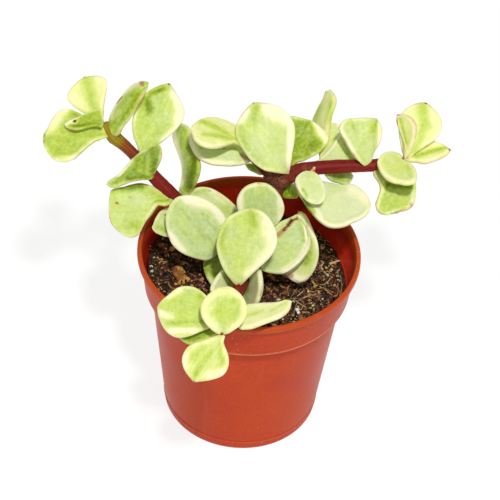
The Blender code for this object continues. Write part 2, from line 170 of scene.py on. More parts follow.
# Each blade's outline as the camera sees it, in pixels of the 500 x 500 picture: its base, its tip,
# and the points from base to tip along side a (left of the way base to tip) and side b. It is
# projected on the blade's own plane.
OUTLINES = {
    "leaf_left_1": ((101.5, 119.5), (84.3, 77.2),
                    [(97, 117.8), (90, 115.5), (82, 112), (74, 107), (69, 102), (67, 97), (68, 92.5), (72, 87), (77, 82), (81, 79)],
                    [(103.2, 113), (103.6, 106), (105.3, 96), (107, 86.5), (106.3, 80.5), (103, 77), (98, 75.8), (91, 76), (87, 76.6)]),
    "leaf_left_2": ((107, 138), (43.6, 136),
                    [(103, 139.6), (99, 139.8), (95, 141), (90, 144.5), (84, 149.5), (78, 155), (73, 159.7), (68, 161.8), (62, 162.3), (56, 161),
                     (50, 156.5), (46, 150), (43.6, 143)],
                    [(105.3, 132.5), (103.4, 127), (98, 120.5), (90, 116.5), (82, 114), (78, 112.3), (73, 110), (68, 108.7), (62, 109.5), (57, 112.5), (52, 119),
                     (48, 127), (45, 132)]),
    "leaf_left_3": ((104.2, 119.5), (64.5, 124.5),
                    [(102, 126.5), (97, 126), (90, 127), (84, 128.5), (77, 129.8), (70, 129), (66, 127)],
                    [(103.2, 114), (101.3, 108.8), (97, 109.2), (90, 111.8), (84, 114.5), (77, 117.5), (70, 120.3), (66, 122.5)]),
    "leaf_left_4": ((116, 136.5), (147.8, 82),
                    [(112.5, 134), (110, 128), (110, 121), (113, 112.5), (118, 103.5), (123, 96.5), (128, 90.5), (133, 86), (138, 83.5), (143, 81.6)],
                    [(120, 133), (123, 126.5), (128, 120.5), (133, 112.5), (137, 105), (142, 97.5), (145.7, 91), (147.8, 86)]),
    "leaf_left_5": ((146, 151), (169.3, 83.5),
                    [(141, 150), (137, 145), (133.8, 138), (132, 129), (132.3, 119), (135.5, 109), (141, 99), (147, 92), (154, 88), (162, 85)],
                    [(150, 149.5), (155, 146.3), (161, 143), (168, 137.5), (175, 131), (181, 124), (184.3, 116), (184.3, 109), (182, 103), (178, 96),
                     (173.5, 89.5)]),
    "leaf_left_6": ((156.5, 173), (106.4, 184.2),
                    [(154, 177), (149.5, 179.3), (143, 180), (136, 181), (129, 182.7), (122, 185.2), (115, 187.3), (109.5, 187)],
                    [(159, 165.5), (161.6, 157), (162, 150.5), (160, 145.3), (154.5, 145.6), (147, 149), (140, 152.5), (134, 157), (129, 162),
                     (125, 167.5), (120, 173), (114, 177.5), (109, 180.5)]),
    "leaf_left_7": ((173.5, 199.5), (109.4, 216.5),
                    [(171, 204), (164.5, 205.8), (158, 205.2), (153.5, 210), (149, 217), (144.5, 224), (141, 231), (137, 236), (131.5, 238),
                     (125, 236.3), (119.5, 232.5), (114.5, 228), (111, 222.5)],
                    [(168, 194), (162, 190.5), (155, 187), (148, 184.5), (140, 183), (131, 184.5), (123, 187), (116, 187.8), (110.8, 190.5),
                     (109.2, 197), (108.7, 204), (108.8, 211)]),
    "leaf_left_8": ((185, 195), (180.5, 123.6),
                    [(181.3, 193), (181.5, 187), (182.6, 180), (183.4, 172), (183, 165), (181, 158), (178, 150), (175, 142), (174, 136),
                     (174.5, 130.5), (177, 126)],
                    [(189, 193.5), (193.5, 188), (197, 180.5), (199.3, 172), (199.7, 163), (197, 154), (193, 146), (191, 138), (190, 131), (186.5, 125.5)]),
    "leaf_top_1": ((243, 142), (191.3, 127.5),
                   [(238, 143), (232, 143.9), (226, 146), (219, 148), (212, 148.4), (205, 147), (199, 144), (194.3, 139.5), (191.8, 133.5)],
                   [(242, 134), (236.5, 126.6), (231, 123.7), (225, 121), (218, 118.7), (212, 117.7), (205, 118.2), (200, 120), (195.3, 123)]),
    "leaf_top_2": ((249, 162), (189, 136),
                   [(244, 164.5), (238, 165.5), (230, 166.2), (222, 165.6), (213, 164.8), (205, 162.3), (198, 158), (193, 151), (189.8, 143.5)],
                   [(248, 154), (245, 147.5), (239, 142.5), (232, 140.5), (224, 140), (215, 138), (205, 135), (197, 131), (191.5, 130.5)]),
    "leaf_top_3": ((284.5, 173), (253, 102.8),
                   [(278, 172.6), (271, 171.6), (264, 170), (257, 165.8), (250, 159.7), (244, 151.5), (239.5, 144), (236, 136.5), (235.3, 130),
                    (237, 122.5), (241.5, 115), (247.5, 107.5)],
                   [(288, 168.5), (291, 162), (292, 155), (293.5, 147), (294.8, 139), (295.2, 131), (294, 123.5), (290.5, 117), (285.5, 111.5),
                    (279, 106.3), (271, 104), (261, 103)]),
    "leaf_top_4": ((290, 163.5), (327.5, 134.5),
                   [(287, 153), (284, 140), (284, 128), (287, 119), (292, 116), (298, 117), (305, 118.8), (311, 120.3), (316.5, 123.5), (322, 128.2)],
                   [(297, 162), (304, 160.8), (310, 158), (316, 154.8), (321.8, 150.5), (326.3, 144.5), (328.6, 139)]),
    "leaf_top_5": ((319, 135), (330.4, 90),
                   [(314.5, 128), (314, 120.5), (317, 113.5), (321, 105.5), (324.5, 99), (326.2, 93.5), (328, 90.8)],
                   [(325, 132), (328.5, 122), (331, 114), (334.5, 106.5), (336, 99.5), (334, 93.5)]),
    "leaf_top_6": ((323, 158), (334, 123),
                   [(322, 148), (324, 139), (325.5, 131), (328.3, 124.7)],
                   [(330, 153), (336, 144), (340, 135), (339.5, 128), (337.5, 124)]),
    "leaf_top_7": ((352, 162), (316.5, 161.3),
                   [(343, 163), (333, 163.3), (324, 162.5)],
                   [(357, 156), (352, 148), (346.5, 139.5), (341.3, 131.3), (337, 139), (331.5, 147.5), (324, 155.5)]),
    "leaf_top_8": ((366.3, 167), (376.3, 118.4),
                   [(361.5, 164), (356.5, 158.5), (351.5, 151.5), (347, 144), (343, 137), (339.3, 130.5), (339, 126.5), (342.3, 121.5), (347, 118.7),
                    (354, 118.6), (361, 117.8), (369, 118)],
                   [(370.8, 161.5), (373.2, 154), (377.5, 147.5), (380.8, 141), (382.2, 134), (381.8, 128), (379.3, 122.3)]),
    "leaf_top_9": ((259, 175.5), (245, 164.5), [(257, 176.2), (253, 173), (248.5, 169)], [(260, 170), (255, 165.5), (250, 163.5)]),
    "leaf_right_1": ((406.5, 160), (426.2, 102.8),
                     [(402.5, 152), (400.5, 142), (399, 132), (398.8, 122), (401.5, 114), (406.5, 108.3), (413, 104.7), (420, 103.2)],
                     [(411, 157.5), (416.5, 152.5), (424, 147.5), (431.5, 142.5), (437.5, 137.5), (441.2, 131.5), (442.2, 125), (440.5, 117.8),
                      (436.5, 111.5), (431, 106.5)]),
    "leaf_right_2": ((405.5, 161), (397.2, 114.7),
                     [(403.7, 154), (404, 147), (402.8, 140), (400.5, 133), (398.2, 127), (396.8, 121)],
                     [(409, 154.5), (412, 147), (414.6, 139), (416, 131), (415.3, 124), (411.5, 118.2), (404.5, 114.6)]),
    "leaf_right_3": ((406, 160), (450.8, 150),
                     [(411.5, 154.5), (418, 149), (424, 144.7), (430, 141.7), (437, 142), (443, 144.6), (448, 147.7)],
                     [(411, 161.3), (417, 162), (424, 163.4), (431, 161.8), (438, 159.3), (444, 156.5), (448.5, 153)]),
    "leaf_right_4": ((403, 159.5), (399, 183.4),
                     [(407.5, 162.3), (412.5, 165.7), (416.2, 171), (417.2, 177), (415.5, 181.8), (410.5, 183.9), (404.5, 184.1)],
                     [(400, 154.8), (394.5, 152.3), (388, 152.5), (382, 155), (378.2, 159.5), (377.2, 164), (379.5, 170), (383.5, 175.8),
                      (388.5, 180), (394, 182.3)]),
    "leaf_right_5": ((375.5, 170.5), (396, 212.2),
                     [(381.5, 171), (390, 172), (400, 174), (410, 177.5), (415.5, 183), (416.3, 190), (415.6, 197.5), (413.6, 204), (409, 208.3),
                      (402.5, 210.8)],
                     [(373, 174.5), (377.7, 180.5), (380.4, 186.5), (380.2, 192.5), (377.8, 199), (375.7, 205.5), (377, 210.5), (381, 213.8), (388, 214.6)]),
    "leaf_right_6": ((297, 189), (370.5, 204),
                     [(302, 184), (309, 181), (316, 180.8), (324, 181.7), (333, 183.5), (342, 185.2), (350, 184.2), (357, 186.3), (363.5, 191.5), (368.3, 197.5)],
                     [(300.5, 197.5), (305.5, 204.5), (310.5, 211), (315, 216.5), (320, 221.3), (325.5, 225.3), (332, 227.4), (339, 227.3),
                      (345.5, 225.7), (351.5, 222.7), (358.5, 220), (365, 215.8), (369.6, 210)]),
    "leaf_right_7": ((308.5, 172.5), (317, 204),
                     [(314, 172.5), (318.5, 175.5), (322, 181), (324.7, 187), (325.6, 193.5), (324.5, 199.3), (321.2, 202.8)],
                     [(303, 172.3), (298, 175.3), (295.2, 180), (296, 185.5), (299, 191.5), (303, 197.3), (309, 202.2)]),
    "leaf_right_8": ((323, 175), (353.5, 177),
                     [(329, 171), (340, 170), (349, 172)],
                     [(327.5, 178.5), (333, 181), (339, 182.7), (345, 184.5), (350.5, 182)]),
    "leaf_right_9": ((298, 191), (281.7, 194), [(297.5, 197.5), (290, 198.6), (284, 197.9)], [(294.8, 186), (291, 181.8), (286.3, 185.5), (283, 189.7)]),
    "leaf_middle_1": ((222, 260), (168, 210),
                      [(213.5, 261.3), (206, 260.8), (198, 259.2), (190, 256.8), (183, 253.8), (176.5, 249.3), (171.5, 243.5), (168.8, 237), (166.8, 230.5),
                       (165.6, 222), (166, 215.5)],
                      [(227, 251), (228, 240), (227.5, 229), (225.8, 218.5), (221.5, 211), (215, 205), (208, 200.3), (200, 197), (191.5, 195),
                       (184, 195.2), (177, 197.3), (171.5, 203)]),
    "leaf_middle_2": ((238.5, 283.5), (252, 208.3),
                      [(234, 282.3), (229, 277.5), (224.3, 271), (220.3, 262.5), (217.6, 254), (216.3, 245.5), (217.5, 237.5), (220, 229.5),
                       (223.5, 223), (228, 217.5), (234.5, 213), (243, 209.7)],
                      [(243, 282.5), (248, 278), (254, 272.3), (260.5, 266.7), (266.7, 261), (272, 255), (276, 247.5), (277.4, 240.5), (276.5, 233),
                       (274, 226), (270, 219), (265, 213.5), (259, 209.8)]),
    "leaf_middle_3": ((261, 233), (258, 182.7),
                      [(252, 229), (243, 220), (238, 210), (236.6, 202), (238.2, 195.5), (242, 190), (248, 185.6)],
                      [(271, 228.5), (278, 223), (282.6, 216), (284.4, 209), (283.2, 202), (280, 195), (275, 189), (267.5, 184)]),
    "leaf_middle_4": ((186, 201), (239, 218),
                      [(188.5, 193.5), (193.5, 189), (200, 186.8), (207, 187.2), (213, 189), (219.5, 192.6), (226, 197.2), (232, 202.3), (237.3, 208.5)],
                      [(190, 210), (197, 217), (206, 222), (216, 225), (226, 226), (234.5, 224)]),
    "leaf_middle_5": ((179, 211), (152.2, 227.7),
                      [(180, 222), (177, 230), (172.5, 235.5), (166.5, 236.8), (160, 234.8), (155, 232)],
                      [(172, 207), (165.5, 208.6), (159.5, 212), (156, 217.5), (153.7, 222.8)]),
    "leaf_middle_6": ((259.5, 259), (307.3, 231),
                      [(261.5, 246), (267, 235), (275, 226), (281.5, 221), (289, 218), (297, 214.5), (302, 217.5), (305.3, 223.5)],
                      [(259.5, 269), (267, 272.6), (276, 274.2), (284, 273.5), (291, 269.8), (298, 264), (304, 257), (308.3, 249.3), (309.5, 240.5)]),
    "leaf_middle_7": ((299.5, 282.9), (298.3, 211.2),
                      [(294.6, 281.8), (290.4, 279.3), (286, 274.8), (283, 268), (286, 258), (291, 247), (294, 236), (295.5, 225), (296.5, 217)],
                      [(304.6, 281.7), (309.2, 278), (313.4, 272), (316.6, 265.5), (318.6, 257.5), (318.8, 249), (317.2, 240.5), (314, 232.5), (310.5, 224.5),
                       (307.5, 218), (303.5, 213)]),
    "leaf_middle_8": ((214, 257), (212.5, 287),
                      [(222, 261), (223.5, 270), (219.5, 280)], [(205.5, 258.5), (203.2, 265), (204.7, 272.5), (208, 280.5)]),
    "leaf_middle_9": ((235, 288), (211.3, 286),
                      [(225, 294), (216.5, 295), (211.5, 291.5)], [(232, 280.5), (227.5, 272), (222.5, 270), (216.5, 277)]),
    "leaf_middle_10": ((242.5, 290), (260.8, 294),
                       [(247, 279), (253, 271.5), (258.8, 268.5), (261, 276.5), (261.8, 286)],
                       [(243.8, 298), (247.5, 305), (252, 309), (257, 303.5)]),
    "leaf_front_1": ((216, 318), (157.8, 306),
                     [(211, 327), (204, 330.4), (197, 333.4), (190, 336.1), (183, 337.7), (176, 337.5), (169.5, 334.4), (165, 330), (161.6, 324.5),
                      (159.1, 318), (157.8, 311.5)],
                     [(214, 307), (209.5, 299), (204.5, 293.6), (199, 289.6), (193, 286.8), (186.5, 286), (180, 286.8), (174, 289.8), (168.5, 294.7),
                      (162.5, 299.5)]),
    "leaf_front_2": ((222.5, 334.3), (226, 286.7),
                     [(217, 332.8), (211, 329), (206, 324), (202.2, 318), (200.4, 311.5), (200.9, 305), (204, 299), (208.5, 294.2), (214, 290.2), (219.5, 287.8)],
                     [(228.3, 333.3), (234, 330), (239.7, 326), (244, 320.5), (246.7, 314), (247.2, 307.5), (245.2, 301), (241.5, 295.2), (236.5, 290.8),
                      (231.5, 287.8)]),
    "leaf_front_3": ((236, 320), (291.8, 301.5),
                     [(240, 308), (247, 305.2), (255, 304), (264, 303.3), (273, 303), (280, 302), (286, 300.3)],
                     [(239.5, 327.8), (245, 328.5), (251.5, 328), (258, 325.8), (265, 322.9), (272, 320.3), (279, 317.6), (285, 314), (290, 308.3)]),
    "leaf_front_4": ((220, 334), (194.3, 381.6),
                     [(224.6, 335.5), (223.6, 342), (225.5, 348), (227.8, 354), (228.9, 360), (228.5, 366), (226, 372), (221.5, 376.4), (215, 378.9),
                      (208, 380.4), (201, 381.1)],
                     [(213, 336.8), (206, 339.3), (199, 341.6), (192, 344), (187, 347.7), (183.4, 353.5), (181.9, 359.5), (182.7, 365.5), (185, 371),
                      (189, 376.6)]),
    "leaf_front_5": ((220, 329), (179, 338),
                     [(217, 333), (211, 337), (204, 340.6), (197, 343.1), (190, 343.9), (184, 341.9)],
                     [(214, 324.5), (206, 324), (197, 326), (188, 330.5), (182, 334.5)]),
}

# Relief of each blade in mm, towards its upper face: cup raises both sides, bend both ends, lips
# (side, from, to, width, height) roll a stretch of the margin up, ridges (x, y, x, y, width, height)
# run along a line of the picture, and shelves lift what lies right of such a line.
RELIEFS = {
    "leaf_left_1": dict(cup=0.7),
    "leaf_left_2": dict(cup=0.5, lips=[("a", 0.05, 0.45, 0.8, 0.9)]),
    "leaf_left_3": dict(cup=0.4),
    "leaf_left_4": dict(cup=-0.5, ridges=[(114, 119, 142, 86, 3.0, 0.45)]),
    "leaf_left_5": dict(cup=0.8, bend=0.4),
    "leaf_left_6": dict(cup=0.3, shelves=[(149.5, 145, 149, 180, 4.0, -1.5)], ridges=[(149.5, 148, 149, 178, 2.5, 0.3)]),
    "leaf_left_7": dict(cup=0.3, lips=[("a", 0.02, 0.35, 0.8, 1.0)]),
    "leaf_left_8": dict(cup=-0.4, ridges=[(184, 135, 190, 170, 5.0, 0.5)]),
    "leaf_top_1": dict(cup=-0.3, ridges=[(200, 128, 234, 140, 3.0, -0.25)]),
    "leaf_top_2": dict(cup=0.5),
    "leaf_top_3": dict(cup=0.9, bend=0.3),
    "leaf_top_4": dict(cup=0.6),
    "leaf_top_5": dict(cup=-0.4),
    "leaf_top_7": dict(lips=[("b", 0.5, 1.0, 0.7, 0.5)]),
    "leaf_top_8": dict(cup=0.4, lips=[("a", 0.1, 0.6, 0.8, 0.7)], shelves=[(371, 162, 374, 118, 4.0, -1.3)]),
    "leaf_right_1": dict(cup=1.0),
    "leaf_right_2": dict(cup=0.5),
    "leaf_right_3": dict(cup=0.7),
    "leaf_right_4": dict(cup=1.0),
    "leaf_right_5": dict(cup=0.3, lips=[("b", 0.1, 0.6, 0.8, 0.8), ("a", 0.5, 1.0, 0.8, 0.5)]),
    "leaf_right_6": dict(cup=0.3, lips=[("b", 0.15, 0.95, 0.8, 0.6)]),
    "leaf_right_7": dict(cup=0.4),
    "leaf_right_9": dict(hidden_stalk=True),
    "leaf_middle_1": dict(cup=0.4, bend=0.3),
    "leaf_middle_2": dict(cup=0.9, bend=0.4),
    "leaf_middle_3": dict(cup=0.5),
    "leaf_middle_4": dict(cup=0.5),
    "leaf_middle_5": dict(cup=0.4),
    "leaf_middle_6": dict(cup=0.5, lips=[("b", 0.35, 1.0, 0.7, 1.1), ("a", 0.7, 1.0, 0.7, 1.0)]),
    "leaf_middle_7": dict(cup=0.8, hidden_stalk=True),
    "leaf_front_1": dict(cup=0.6),
    "leaf_front_2": dict(cup=0.7, bend=0.3),
    "leaf_front_3": dict(cup=0.6),
    "leaf_front_4": dict(cup=0.5, bend=0.3),
}

# How each blade is coloured: level is the green of its middle (0 cream, 1 green), rim the width in
# pixels of the cream margin on side a, on side b and at the tip, fresh runs from bluish to
# yellow-green, streak is the strength of the stripes, pink that of the blush on the edge. Strokes
# (x, y, x, y, width, amount) add green or take it away along lines of the picture; a few of them are
# painted shade or painted shadow, as marked below. Scars and spots (x, y, radius, darkness) are brown.
LOOKS = {
    "leaf_left_1": dict(level=0.15, rim=(2, 2, 1), fresh=0.9, streak=0.3, pink=0.3, strokes=[(87, 78, 91, 98, 7.5, 0.6), (91, 98, 98, 117, 6, 0.55)],
                        spots=[(84.5, 77.3, 1.2, 0.6)]),
    "leaf_left_2": dict(level=0.88, rim=(2.5, 2, 1), fresh=0.95, streak=0.4, pink=0.45,
                        strokes=[(64, 111, 52, 128, 5.5, -0.75), (48, 133, 56, 126, 3, -0.5), (72, 112, 80, 116, 3, 0.35), (58, 160, 76, 158, 2.5, -0.5)],
                        spots=[(44, 135, 1.5, 0.5), (43.5, 142, 1.3, 0.3)]),
    # painted shade: the stroke from (68, 128) to (98, 126) darkens leaf_left_3's lower margin to the green of its shade
    "leaf_left_3": dict(level=1.0, rim=(0.5, 2.5, 2), fresh=1.0, streak=0.3, pink=0.6, strokes=[(66, 124, 74, 121.5, 3.5, -0.9), (68, 128, 98, 126, 1.8, 0.5)],
                        spots=[(75, 122, 1.7, 0.95)]),
    "leaf_left_4": dict(level=1.0, rim=(1, 0.5, 0), fresh=0.85, streak=0.5, pink=0.6,
                        strokes=[(113, 118, 119, 104, 3.2, -0.8), (119, 104, 128, 92, 3.2, -0.8), (128, 92, 141, 84, 3.5, -0.9), (124, 122, 140, 95, 3, 0.25)],
                        scars=[(119.5, 104, 124.5, 98.5, 0.8, 0.6)], spots=[(143.3, 85.3, 1.8, 0.6)]),
    "leaf_left_5": dict(level=0.72, rim=(2, 2, 0), fresh=0.7, streak=0.5, pink=0.35,
                        strokes=[(146, 98, 149, 113, 4, 0.7), (149, 93, 163, 88, 3.2, 0.7), (175, 95, 181, 108, 5.5, -1.0), (181, 108, 179, 122, 5.5, -1.0),
                                 (177, 125, 163, 140, 3.5, -0.4), (135, 106, 134, 120, 1.5, -0.4)], spots=[(169, 84, 1.2, 0.7)]),
    "leaf_left_6": dict(level=1.15, rim=(0.5, 1.5, 1), fresh=0.6, streak=0.7, pink=0.6,
                        strokes=[(119, 174, 130, 161, 2.8, -1.0), (139, 153, 148, 150, 2.8, -0.6), (153, 150, 158, 172, 3.5, 0.3), (128, 180, 150, 178, 2, 0.45),
                                 (150, 150, 150, 176, 1.3, -0.3), (108, 183, 114, 181, 2, -0.4)]),
    # painted shadow: the first stroke is the dark olive band that leaf_left_6 casts across leaf_left_7's top, laid over
    # the lamp's own shadow there
    "leaf_left_7": dict(level=0.66, rim=(1.5, 1, 1.5), fresh=0.62, streak=0.3, pink=0.5,
                        strokes=[(122, 187.5, 141, 186, 3.8, 1.0), (112, 192, 121, 190, 2.5, 0.3), (157, 203.5, 170, 203, 1.6, 0.5), (128, 224, 138, 229, 4.5, 0.25),
                                 (150, 193, 164, 199, 4, 0.2)],
                        spots=[(129.4, 197, 0.7, 0.9), (116.2, 203.5, 0.75, 0.9), (124.4, 216.8, 0.7, 1.0), (140, 212, 0.7, 0.8)]),
    "leaf_left_8": dict(level=0.95, rim=(1.5, 0.5, 1), fresh=0.55, streak=0.5, pink=0.2,
                        strokes=[(176, 132, 183, 160, 3.2, -1.0), (184, 160, 184, 184, 2.6, -0.85), (197, 160, 192, 186, 4, 0.8), (191, 148, 197, 162, 3, 0.4)]),
    "leaf_top_1": dict(level=0.3, rim=(3, 3, 2), fresh=1.0, streak=0.5, pink=0.3,
                       strokes=[(200, 122.5, 217, 130.5, 2.8, 0.6), (217, 130.5, 237, 142, 2.8, 0.5), (202, 136, 232, 141, 2.2, 0.5)], spots=[(191.8, 126, 1.0, 0.5)]),
    # painted shadow: the stroke is the dark line that leaf_top_1 casts just below its edge
    "leaf_top_2": dict(level=0.5, rim=(6, 2, 4), fresh=0.3, streak=0.3, pink=0.6, strokes=[(200, 149, 235, 149.5, 1.6, 0.45)],
                       scars=[(241, 156, 249, 163, 2.0, 0.35)]),
    "leaf_top_3": dict(level=0.58, rim=(2, 2, 1), fresh=0.55, streak=0.35, pink=0.35,
                       strokes=[(257, 106, 252, 122, 4.5, 0.35), (240, 130, 247, 150, 4.5, 0.3), (244, 152, 262, 165, 4, 0.18), (268, 108, 287, 118, 6.5, -0.9),
                                (290, 120, 291, 150, 3, -0.7), (241, 122, 247, 112, 2.5, -0.5), (290, 150, 288, 167, 2.5, -0.5)], spots=[(253.2, 103.2, 1.2, 0.4)]),
    "leaf_top_4": dict(level=1.18, rim=(1, 1.5, 1), fresh=0.85, streak=0.6, pink=0.4,
                       strokes=[(317, 125, 325, 140, 4.5, -1.2), (291, 118, 297, 119, 2, -0.4), (313, 147, 321, 142, 3, 0.35)],
                       scars=[(303, 149, 312, 150, 1.2, 0.2)]),
    "leaf_top_5": dict(level=0.35, rim=(1, 1, 1), fresh=0.95, streak=0.5, pink=0.3, strokes=[(316, 121, 322, 109, 2.6, 0.5), (330, 118, 333, 104, 2.2, 0.4)],
                       spots=[(327.6, 92.5, 1.1, 0.5)]),
    "leaf_top_6": dict(level=0.55, rim=(1, 1, 2), fresh=0.6, streak=0.2, pink=0.1),
    "leaf_top_7": dict(level=0.5, rim=(1, 2, 1), fresh=0.5, streak=0.3, pink=0.1,
                       strokes=[(341, 132, 331.5, 146.5, 1.6, -1.0), (331.5, 146.5, 320, 158, 1.8, -0.5), (343, 138, 349, 156, 3.2, 0.25)]),
    "leaf_top_8": dict(level=0.62, rim=(3.4, 1.5, 1.5), fresh=0.55, streak=0.35, pink=0.7,
                       strokes=[(378, 124, 379, 146, 3, -0.5), (375, 121, 371, 131, 2.4, 0.35), (350, 121, 355, 132, 3, 0.2)]),
    "leaf_top_9": dict(level=1.2, rim=(0, 0, 0), fresh=0.5, streak=0.3, pink=0.1),
    "leaf_right_1": dict(level=0.12, rim=(2, 2, 1), fresh=0.95, streak=0.35, pink=0.35,
                         strokes=[(422, 107, 424, 126, 7.5, 0.62), (424, 126, 415, 152, 5.5, 0.55)], spots=[(426, 103.3, 1.4, 0.75)]),
    "leaf_right_2": dict(level=0.3, rim=(1, 2, 0), fresh=1.0, streak=0.4, pink=0.6, strokes=[(402, 119, 408, 142, 2.0, 0.5)],
                         scars=[(397.2, 115, 397.6, 124, 1.0, 0.5)]),
    "leaf_right_3": dict(level=0.2, rim=(2, 1.5, 0), fresh=1.0, streak=0.4, pink=0.4, strokes=[(416, 158, 446, 149.5, 2.8, 0.7), (441, 150, 447, 149, 2.5, 0.3)],
                         spots=[(450, 150, 1.6, 0.8)]),
    "leaf_right_4": dict(level=0.5, rim=(3, 4.5, 4.5), soft=1.4, fresh=0.9, streak=0.25, pink=0.35, strokes=[(408, 169, 412, 177, 3.5, 0.12)]),
    # painted shadow: the first stroke is the dark band that leaf_right_4 casts across the top
    "leaf_right_5": dict(level=0.84, rim=(1.5, 2.5, 1.5), fresh=0.8, streak=0.3, pink=0.7,
                         strokes=[(386, 185.5, 412, 188, 3, 0.7), (412.5, 190, 412.5, 203, 2.0, -0.5)],
                         spots=[(391, 197.2, 1.0, 0.5), (412, 205.5, 1.8, 0.35)]),
    "leaf_right_6": dict(level=0.42, rim=(2, 2, 3), fresh=0.08, streak=0.2, pink=0.25,
                         strokes=[(350, 189, 365, 200, 6, -0.35), (311, 205, 321, 219, 1.8, -0.5), (303, 200, 312.5, 213.5, 1.6, 1.0), (326, 186, 345, 190, 4, 0.15)]),
    "leaf_right_7": dict(level=0.48, rim=(2, 2.5, 3), fresh=0.35, streak=0.25, pink=0.2, strokes=[(302, 191, 306, 198, 1.8, 0.55)]),
    "leaf_right_8": dict(level=1.1, rim=(0, 0, 0), fresh=0.5, streak=0.3, pink=0.0, strokes=[(345, 181, 352, 177, 3, -0.5)]),
    "leaf_right_9": dict(level=1.3, rim=(0, 0, 0), edge=0.8, fresh=0.85, streak=0.3, pink=0.0),
    "leaf_middle_1": dict(level=0.66, rim=(2.5, 2.5, 2), fresh=0.15, streak=0.3, pink=0.4,
                          strokes=[(188, 199, 213, 206, 5.0, -0.8), (213, 206, 222, 218, 4.5, -0.8), (170, 234, 182, 250, 3.2, -0.6), (192, 255, 214, 258, 2.5, 0.15),
                                   (181, 209, 204, 238, 1.3, 0.2), (192, 213, 213, 246, 1.3, 0.2), (174, 220, 194, 246, 1.3, 0.15), (200, 211, 218, 234, 1.3, 0.15)]),
    "leaf_middle_2": dict(level=0.62, rim=(2, 3, 1.5), fresh=0.55, streak=0.35, pink=0.3,
                          strokes=[(224, 222, 220, 242, 4.2, 0.32), (220, 242, 229, 262, 3.5, 0.12), (250, 213, 256, 223, 3.5, 0.3), (256, 223, 246, 238, 3.5, 0.1),
                                   (269, 222, 274, 245, 8.5, -0.62), (273, 247, 260, 263, 6.5, -0.55), (258, 263, 247, 274, 4, -0.4), (250, 211, 255, 224, 4.5, 0.3)],
                          spots=[(239, 283.2, 1.3, 0.5)]),
    "leaf_middle_3": dict(level=0.68, rim=(2.5, 2.5, 1.5), fresh=0.25, streak=0.3, pink=0.75, strokes=[(241, 197, 240, 211, 2.6, -0.6), (279, 200, 280, 216, 2.6, -0.5)]),
    "leaf_middle_4": dict(level=0.5, rim=(2, 1, 1), fresh=0.45, streak=0.35, pink=0.7, strokes=[(211, 190.5, 223, 204, 3.6, -0.28), (222, 206, 236, 221, 3.5, 0.3),
                                                                                          (193, 193, 206, 190, 3, 0.25)],
                          spots=[(208.7, 190.5, 1.2, 0.5)]),
    "leaf_middle_5": dict(level=0.6, rim=(1, 1.5, 1), fresh=0.4, streak=0.3, pink=0.2, strokes=[(157, 227, 166, 233, 3, 0.3)], spots=[(165.2, 215.6, 1.4, 0.85)]),
    # painted shade: the stroke from (300, 221) to (304, 241) darkens the green along the rolled-up fold
    "leaf_middle_6": dict(level=0.64, rim=(1, 2, 2), fresh=0.3, streak=0.3, pink=0.2,
                          strokes=[(305.5, 226, 308, 243, 1.8, -0.6), (308, 244, 300, 260, 1.8, -0.7), (300, 260, 284, 271, 2.2, -0.6), (300, 221, 304, 241, 2.6, 0.25)],
                          scars=[(276, 236.5, 283, 231, 1.9, 0.55), (283, 231, 288, 225.5, 1.3, 1.0), (288, 225.5, 292.5, 219.5, 1.6, 1.0), (292.5, 219.5, 297.5, 216.5, 1.1, 0.8),
                                 (286.5, 226.5, 291.5, 223.5, 0.9, 1.0)]),
    "leaf_middle_7": dict(level=0.5, rim=(1.5, 1.5, 1), fresh=0.65, streak=0.45, pink=0.6,
                          strokes=[(308.5, 243, 306, 262, 4.5, 0.7), (288, 276, 304, 280, 4, -0.7), (311, 226, 317, 245, 3, -0.3)],
                          spots=[(290.2, 275.8, 2.6, 0.46), (286.8, 272, 1.6, 0.42), (298.5, 212, 1.3, 0.5)]),
    "leaf_middle_8": dict(level=1.15, rim=(0, 0.5, 0), fresh=0.55, streak=0.4, pink=0.1, strokes=[(208, 279, 214, 284, 3.5, -1.0)]),
    "leaf_middle_9": dict(level=0.34, rim=(1, 1.5, 1), fresh=0.1, streak=0.3, pink=0.1, strokes=[(226, 276, 233, 283, 3.5, 0.9)]),
    "leaf_middle_10": dict(level=0.36, rim=(2, 1, 1), fresh=0.3, streak=0.3, pink=0.1, strokes=[(247, 278, 249, 290, 3.2, 0.9), (247, 292, 250, 300, 2, 0.3)]),
    "leaf_front_1": dict(level=0.68, rim=(2.5, 2.5, 1.5), fresh=0.85, streak=0.35, pink=0.35,
                         strokes=[(160, 313, 172, 317, 2.5, -0.7), (168, 323, 205, 322, 1.8, 0.25), (170, 331, 196, 331, 2.6, -0.8), (169, 297, 180, 290, 2.6, -0.5),
                                  (200, 295, 206, 301, 2.6, 0.3)]),
    "leaf_front_2": dict(level=0.66, rim=(9.5, 5.5, 1.5), soft=1.7, margin=0.9, fresh=0.8, streak=0.3, pink=0.2, spots=[(222.5, 333.6, 1.7, 0.85)],
                         strokes=[(219, 294, 220, 318, 2.4, 0.12), (235, 299, 236, 318, 2.4, 0.12)]),
    "leaf_front_3": dict(level=0.26, rim=(1, 2, 1), fresh=0.6, streak=0.3, pink=0.2, strokes=[(246, 318, 262, 314, 2.2, 0.35), (272, 313, 286, 305, 1.8, 0.3)]),
    "leaf_front_4": dict(level=0.42, rim=(4, 3, 1), soft=1.5, fresh=0.95, streak=0.6, pink=0.25,
                         strokes=[(195, 377, 202, 362, 2.8, 0.42), (202, 362, 212, 352, 3.2, 0.3), (221, 344, 223, 362, 3.4, 0.3), (192, 358, 204, 347, 3.5, 0.22),
                                  (207, 374, 222, 372, 3.5, -0.45), (186, 355, 184, 366, 2.5, -0.5)], spots=[(194.5, 381, 0.9, 0.4)]),
    "leaf_front_5": dict(level=1.2, rim=(0, 1, 0), fresh=0.75, streak=0.6, pink=0.1),
}

